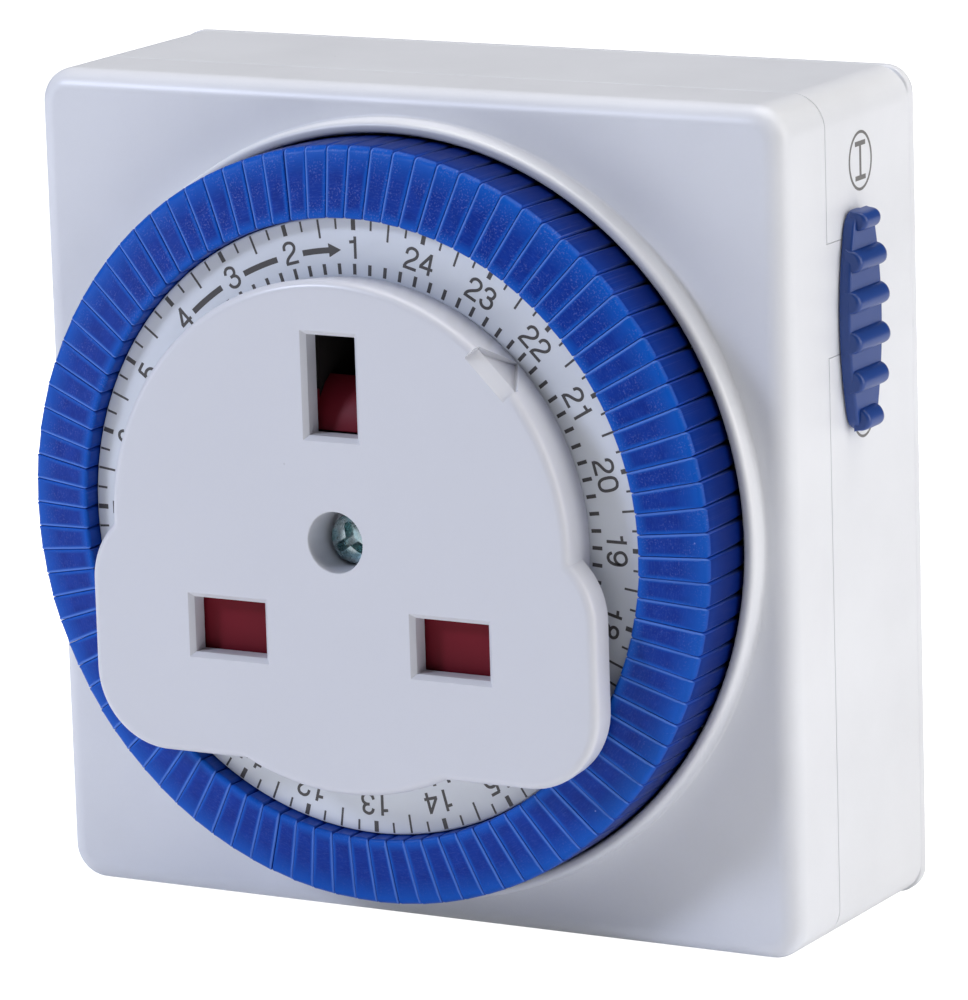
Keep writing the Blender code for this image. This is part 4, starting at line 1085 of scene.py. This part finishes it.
def rib(index):
    """Rounded rib across the slider. The topmost one is shorter above its crest."""
    top = index == RIB_COUNT - 1
    z = SLIDER_Z + 0.04 + (index - 2.5) * RIB_SPACING
    half = slider_half((z - SLIDER_Z) / SLIDER_HALF_L) - 0.05
    if top or index == 0:
        half -= 0.35
    rows = []
    for q in range(17):
        u = -1 + 2 * q / 16
        y = SWITCH_Y + math.sin(u * math.pi / 2) * half
        near_end = min(half - abs(y - SWITCH_Y), RIB_END_R)
        size = math.sqrt(max(RIB_END_R ** 2 - (RIB_END_R - near_end) ** 2, 0.0)) / RIB_END_R
        size = 0.62 + 0.38 * size
        row = []
        for j in range(25):
            a = math.pi * (j / 24 - 0.5)
            stretch = 1.0 + (-0.08 if top else 0.22) * max(0.0, math.sin(a))
            row.append((SLIDER_TOP - 0.22 + 1.12 * size * max(math.cos(a), 0.0) ** 0.85, y,
                        z + RIB_R * (0.55 + 0.45 * size) * math.sin(a) * stretch))
        row += [(SLIDER_TOP - 0.6, y, z + RIB_R * (0.95 if top else 1.35)),
                (SLIDER_TOP - 0.6, y, z - RIB_R * 1.05)]
        rows.append(row)
    return tube(rows)


def switch_slider():
    rings = [slider_ring(HALF_W + 0.12, 0.25), slider_ring(HALF_W + 0.14, 0.02),
             slider_ring(HALF_W + 0.3, 0.0), slider_ring(SLIDER_TOP - 0.26, 0.02)]
    for k in range(1, 6):
        t = math.radians(90 * k / 5)
        rings.append(slider_ring(SLIDER_TOP - SLIDER_EDGE * (1 - math.sin(t)),
                                 0.02 + SLIDER_EDGE * (1 - math.cos(t))))
    shells = Shells().add(tube(rings))
    for i in range(RIB_COUNT):
        shells.add(rib(i))
    # stem through the case wall, plate inside it and a finger further in
    y, z = SWITCH_Y, SWITCH_Z
    shells.add(block(33.4, HALF_W + 0.7, y - 1.1, y + 1.1, z - 2.0, z + 2.0))
    shells.add(block(33.0, 34.3, y - 2.3, y + 2.3, z - 7.0, z + 4.6))
    shells.add(block(30.0, 33.4, y - 2.3, y - 0.8, z - 6.5, z - 4.5))
    slider = shells.piece("switch_slider", SWITCH, 38)
    enrol(slider, "override_switch", "override_switch")


switch_slider()


# ------------------------------------------------------------------ right-hand side symbols
def side_symbols():
    ink = Print(lambda u, w, h: (HALF_W + h, u, w))

    def oval(cy, cz, ry, rz, width, n=48):
        angles = [math.radians(360 * k / n) for k in range(n + 1)]
        ink.stroke([(cy + ry * math.cos(a), cz + rz * math.sin(a)) for a in angles], width)

    # above the switch, a barred I in an oval
    cy, cz = -11.05, 30.7
    oval(cy, cz, 2.15, 2.50, 0.26)
    ink.stroke([(cy, cz - 1.5), (cy, cz + 1.5)], 0.36)
    for z in (cz - 1.5, cz + 1.5):
        ink.stroke([(cy - 1.0, z), (cy + 1.0, z)], 0.42)
    # at its lower end, a clock face with two hands
    cy, cz = -11.25, 9.05
    oval(cy, cz, 2.15, 2.55, 0.24)
    ink.stroke([(cy, cz), (cy, cz + 1.6)], 0.24)
    ink.stroke([(cy, cz), (cy + 1.1, cz)], 0.24)
    enrol(ink.shells.piece("side_symbols", SIDE_INK, even=False), "base")


side_symbols()

# ------------------------------------------------------------------ shutter
# (y, z) round the ramp behind the earth opening
SHUTTER_RAMP = [
    (-37.1, 9.14), (-37.0, 9.6), (-36.7, 10.6), (-36.1, 11.8), (-35.1, 13.0), (-34.2, 13.6),
    (-34.2, 12.8), (-35.0, 11.4), (-35.6, 10.62), (-36.1, 10.58), (-36.12, 9.2),
]


def shutter():
    """Plate behind the lower openings, with two arms up to a ramp behind the earth opening."""
    shells = Shells()
    shells.add(block(-15.5, 15.5, -37.1, -36.1, LOWER_Z - 3.25, LOWER_Z + 3.2))
    for sx in (-1, 1):
        x0, x1 = sorted((sx * 4.65, sx * 6.3))
        shells.add(block(x0, x1, -37.09, -36.11, LOWER_Z, 12.6))
        x0, x1 = sorted((sx * 2.85, sx * 4.8))
        shells.add(block(x0, x1, -37.08, -36.12, 9.16, 12.58))
    shells.add(block(-4.7, 4.7, -37.08, -36.12, -6.3, -4.65))
    shells.add(extruded_x(SHUTTER_RAMP, -2.92, 2.92))
    shells.add(block(-1.3, 1.3, -36.6, -33.6, -6.1, -5.2))
    plate = shells.piece("shutter_slide_plate", RED)
    soften(plate, 0.08, angle=25)
    enrol(plate, "shutter", "shutter")


shutter()

# ------------------------------------------------------------------ CAD nodes carried over
# material, bevel width (0 for none), nodes
FINISHES = [
    (CORE, 0.15, "socket_core"),
    (SPRING, 0, "shutter_spring"),
    (BRASS, 0, "neutral_contact live_contact earth_contact"),
    (BRASS, 0.35, "live_pin neutral_pin earth_pin"),
    (BLACK, 0.3, "live_pin_sleeve neutral_pin_sleeve"),
    (DRUM, 0.1, "dial_drum"),
    (GEAR, 0, "gear_1 gear_2"),
    (BRASS, 0, "motor_pinion"),
    (SPRING, 0, "gear_arbor_1 gear_arbor_2"),
    (CAN, 0.1, "gear_plate"),
    (CAN, 0.2, "motor_can"),
    (COPPER, 0, "motor_coil"),
    (CAN, 0.15, "motor_lid"),
    (BRASS, 0.08, "fixed_contact"),
    (BRASS, 0.06, "moving_contact"),
    (GREY, 0.15, "trip_lever"),
    (SPRING, 0, "lever_pivot_pin"),
    (ZINC, 0, "case_screw_1 case_screw_2 case_screw_3 case_screw_4"),
]
for material, bevel_width, names in FINISHES:
    for name in names.split():
        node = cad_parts[name]
        node.data.materials.clear()
        node.data.materials.append(material)
        if bevel_width:
            soften(node, bevel_width, segments=3, first=False)
        even_normals(node)

# ------------------------------------------------------------------ floor, light, camera (metres)
scene = bpy.context.scene


def floor():
    """Paper under the case, nearly white to the camera but giving off little light."""
    me = bpy.data.meshes.new("floor")
    z = -HALF_H * MM
    me.from_pydata([(-6, -6, z), (6, -6, z), (6, 6, z), (-6, 6, z)], [], [(0, 1, 2, 3)])
    o = new_object("floor", me)
    material = bpy.data.materials.new("floor_paper")
    sh = Shader(material)
    texture = sh.noise(sh.coords(), scale=0.4, detail=3.0)
    normal = sh.bump(texture, strength=0.05, depth=0.05)
    seen = sh.node("LightPath", {}).outputs["Is Camera Ray"]
    sh.finish({"Base Color": (0.92, 0.92, 0.93, 1.0), "Roughness": 0.8, "Normal": normal,
               "Emission Color": (1.0, 1.0, 1.0, 1.0),
               "Emission Strength": sh.ramp(seen, span=(0.0, 1.0), to=(0.12, 0.97))})
    me.materials.append(material)


def backdrop():
    """The world is seen white, and lights the object more weakly and a little bluer."""
    world = bpy.data.worlds.new("studio")
    scene.world = world
    sh = Shader(world, "Background")
    seen = sh.node("LightPath", {}).outputs["Is Camera Ray"]
    sh.finish({"Color": sh.mix((0.94, 0.97, 1.03), (1.0, 1.0, 1.0), by=seen),
               "Strength": sh.ramp(seen, span=(0.0, 1.0), to=(0.04, 1.0))})


def area(name, location, size, energy, color):
    """Square light aimed at the middle of the timer."""
    light = bpy.data.lights.new(name, "AREA")
    light.energy, light.color, light.size = energy, color, size
    o = new_object(name, light)
    o.location = location
    aim = Vector((0.0, -0.02, 0.0)) - Vector(location)
    o.rotation_euler = aim.to_track_quat("-Z", "Y").to_euler()


def camera():
    data = bpy.data.cameras.new("camera")
    data.sensor_width, data.lens = 36.0, 241.2
    data.clip_start, data.clip_end = 0.01, 50.0
    o = new_object("camera", data)
    right = (0.87500435, 0.48317769, -0.0301115)
    up = (-0.07692318, 0.20017297, 0.9767362)
    backward = (0.47796465, -0.85233216, 0.21231978)
    pose = Matrix((right, up, backward)).transposed().to_4x4()
    pose.translation = (0.28703, -0.52466, 0.12566)
    o.matrix_world = pose
    scene.camera = o


floor()
backdrop()
area("key", (-0.5, -0.6, 0.45), size=0.17, energy=3.46, color=(0.70, 0.765, 0.98))
area("left_soft", (-0.85, -0.55, 0.10), size=0.22, energy=0.65, color=(0.88, 0.95, 1.0))
area("front_soft", (-0.15, -0.95, 0.04), size=0.5, energy=0.12, color=(0.85, 0.90, 1.0))
area("top_soft", (0.0, 0.10, 1.0), size=0.8, energy=7.5, color=(1.0, 0.985, 0.97))
area("upper_right", (0.62, 0.10, 0.66), size=0.5, energy=1.2, color=(1.0, 0.99, 0.98))
area("fill_right", (0.85, 0.16, 0.22), size=0.6, energy=3.72, color=(1.0, 0.99, 0.98))
camera()
scene.view_settings.view_transform = "Standard"
scene.view_settings.look = "None"
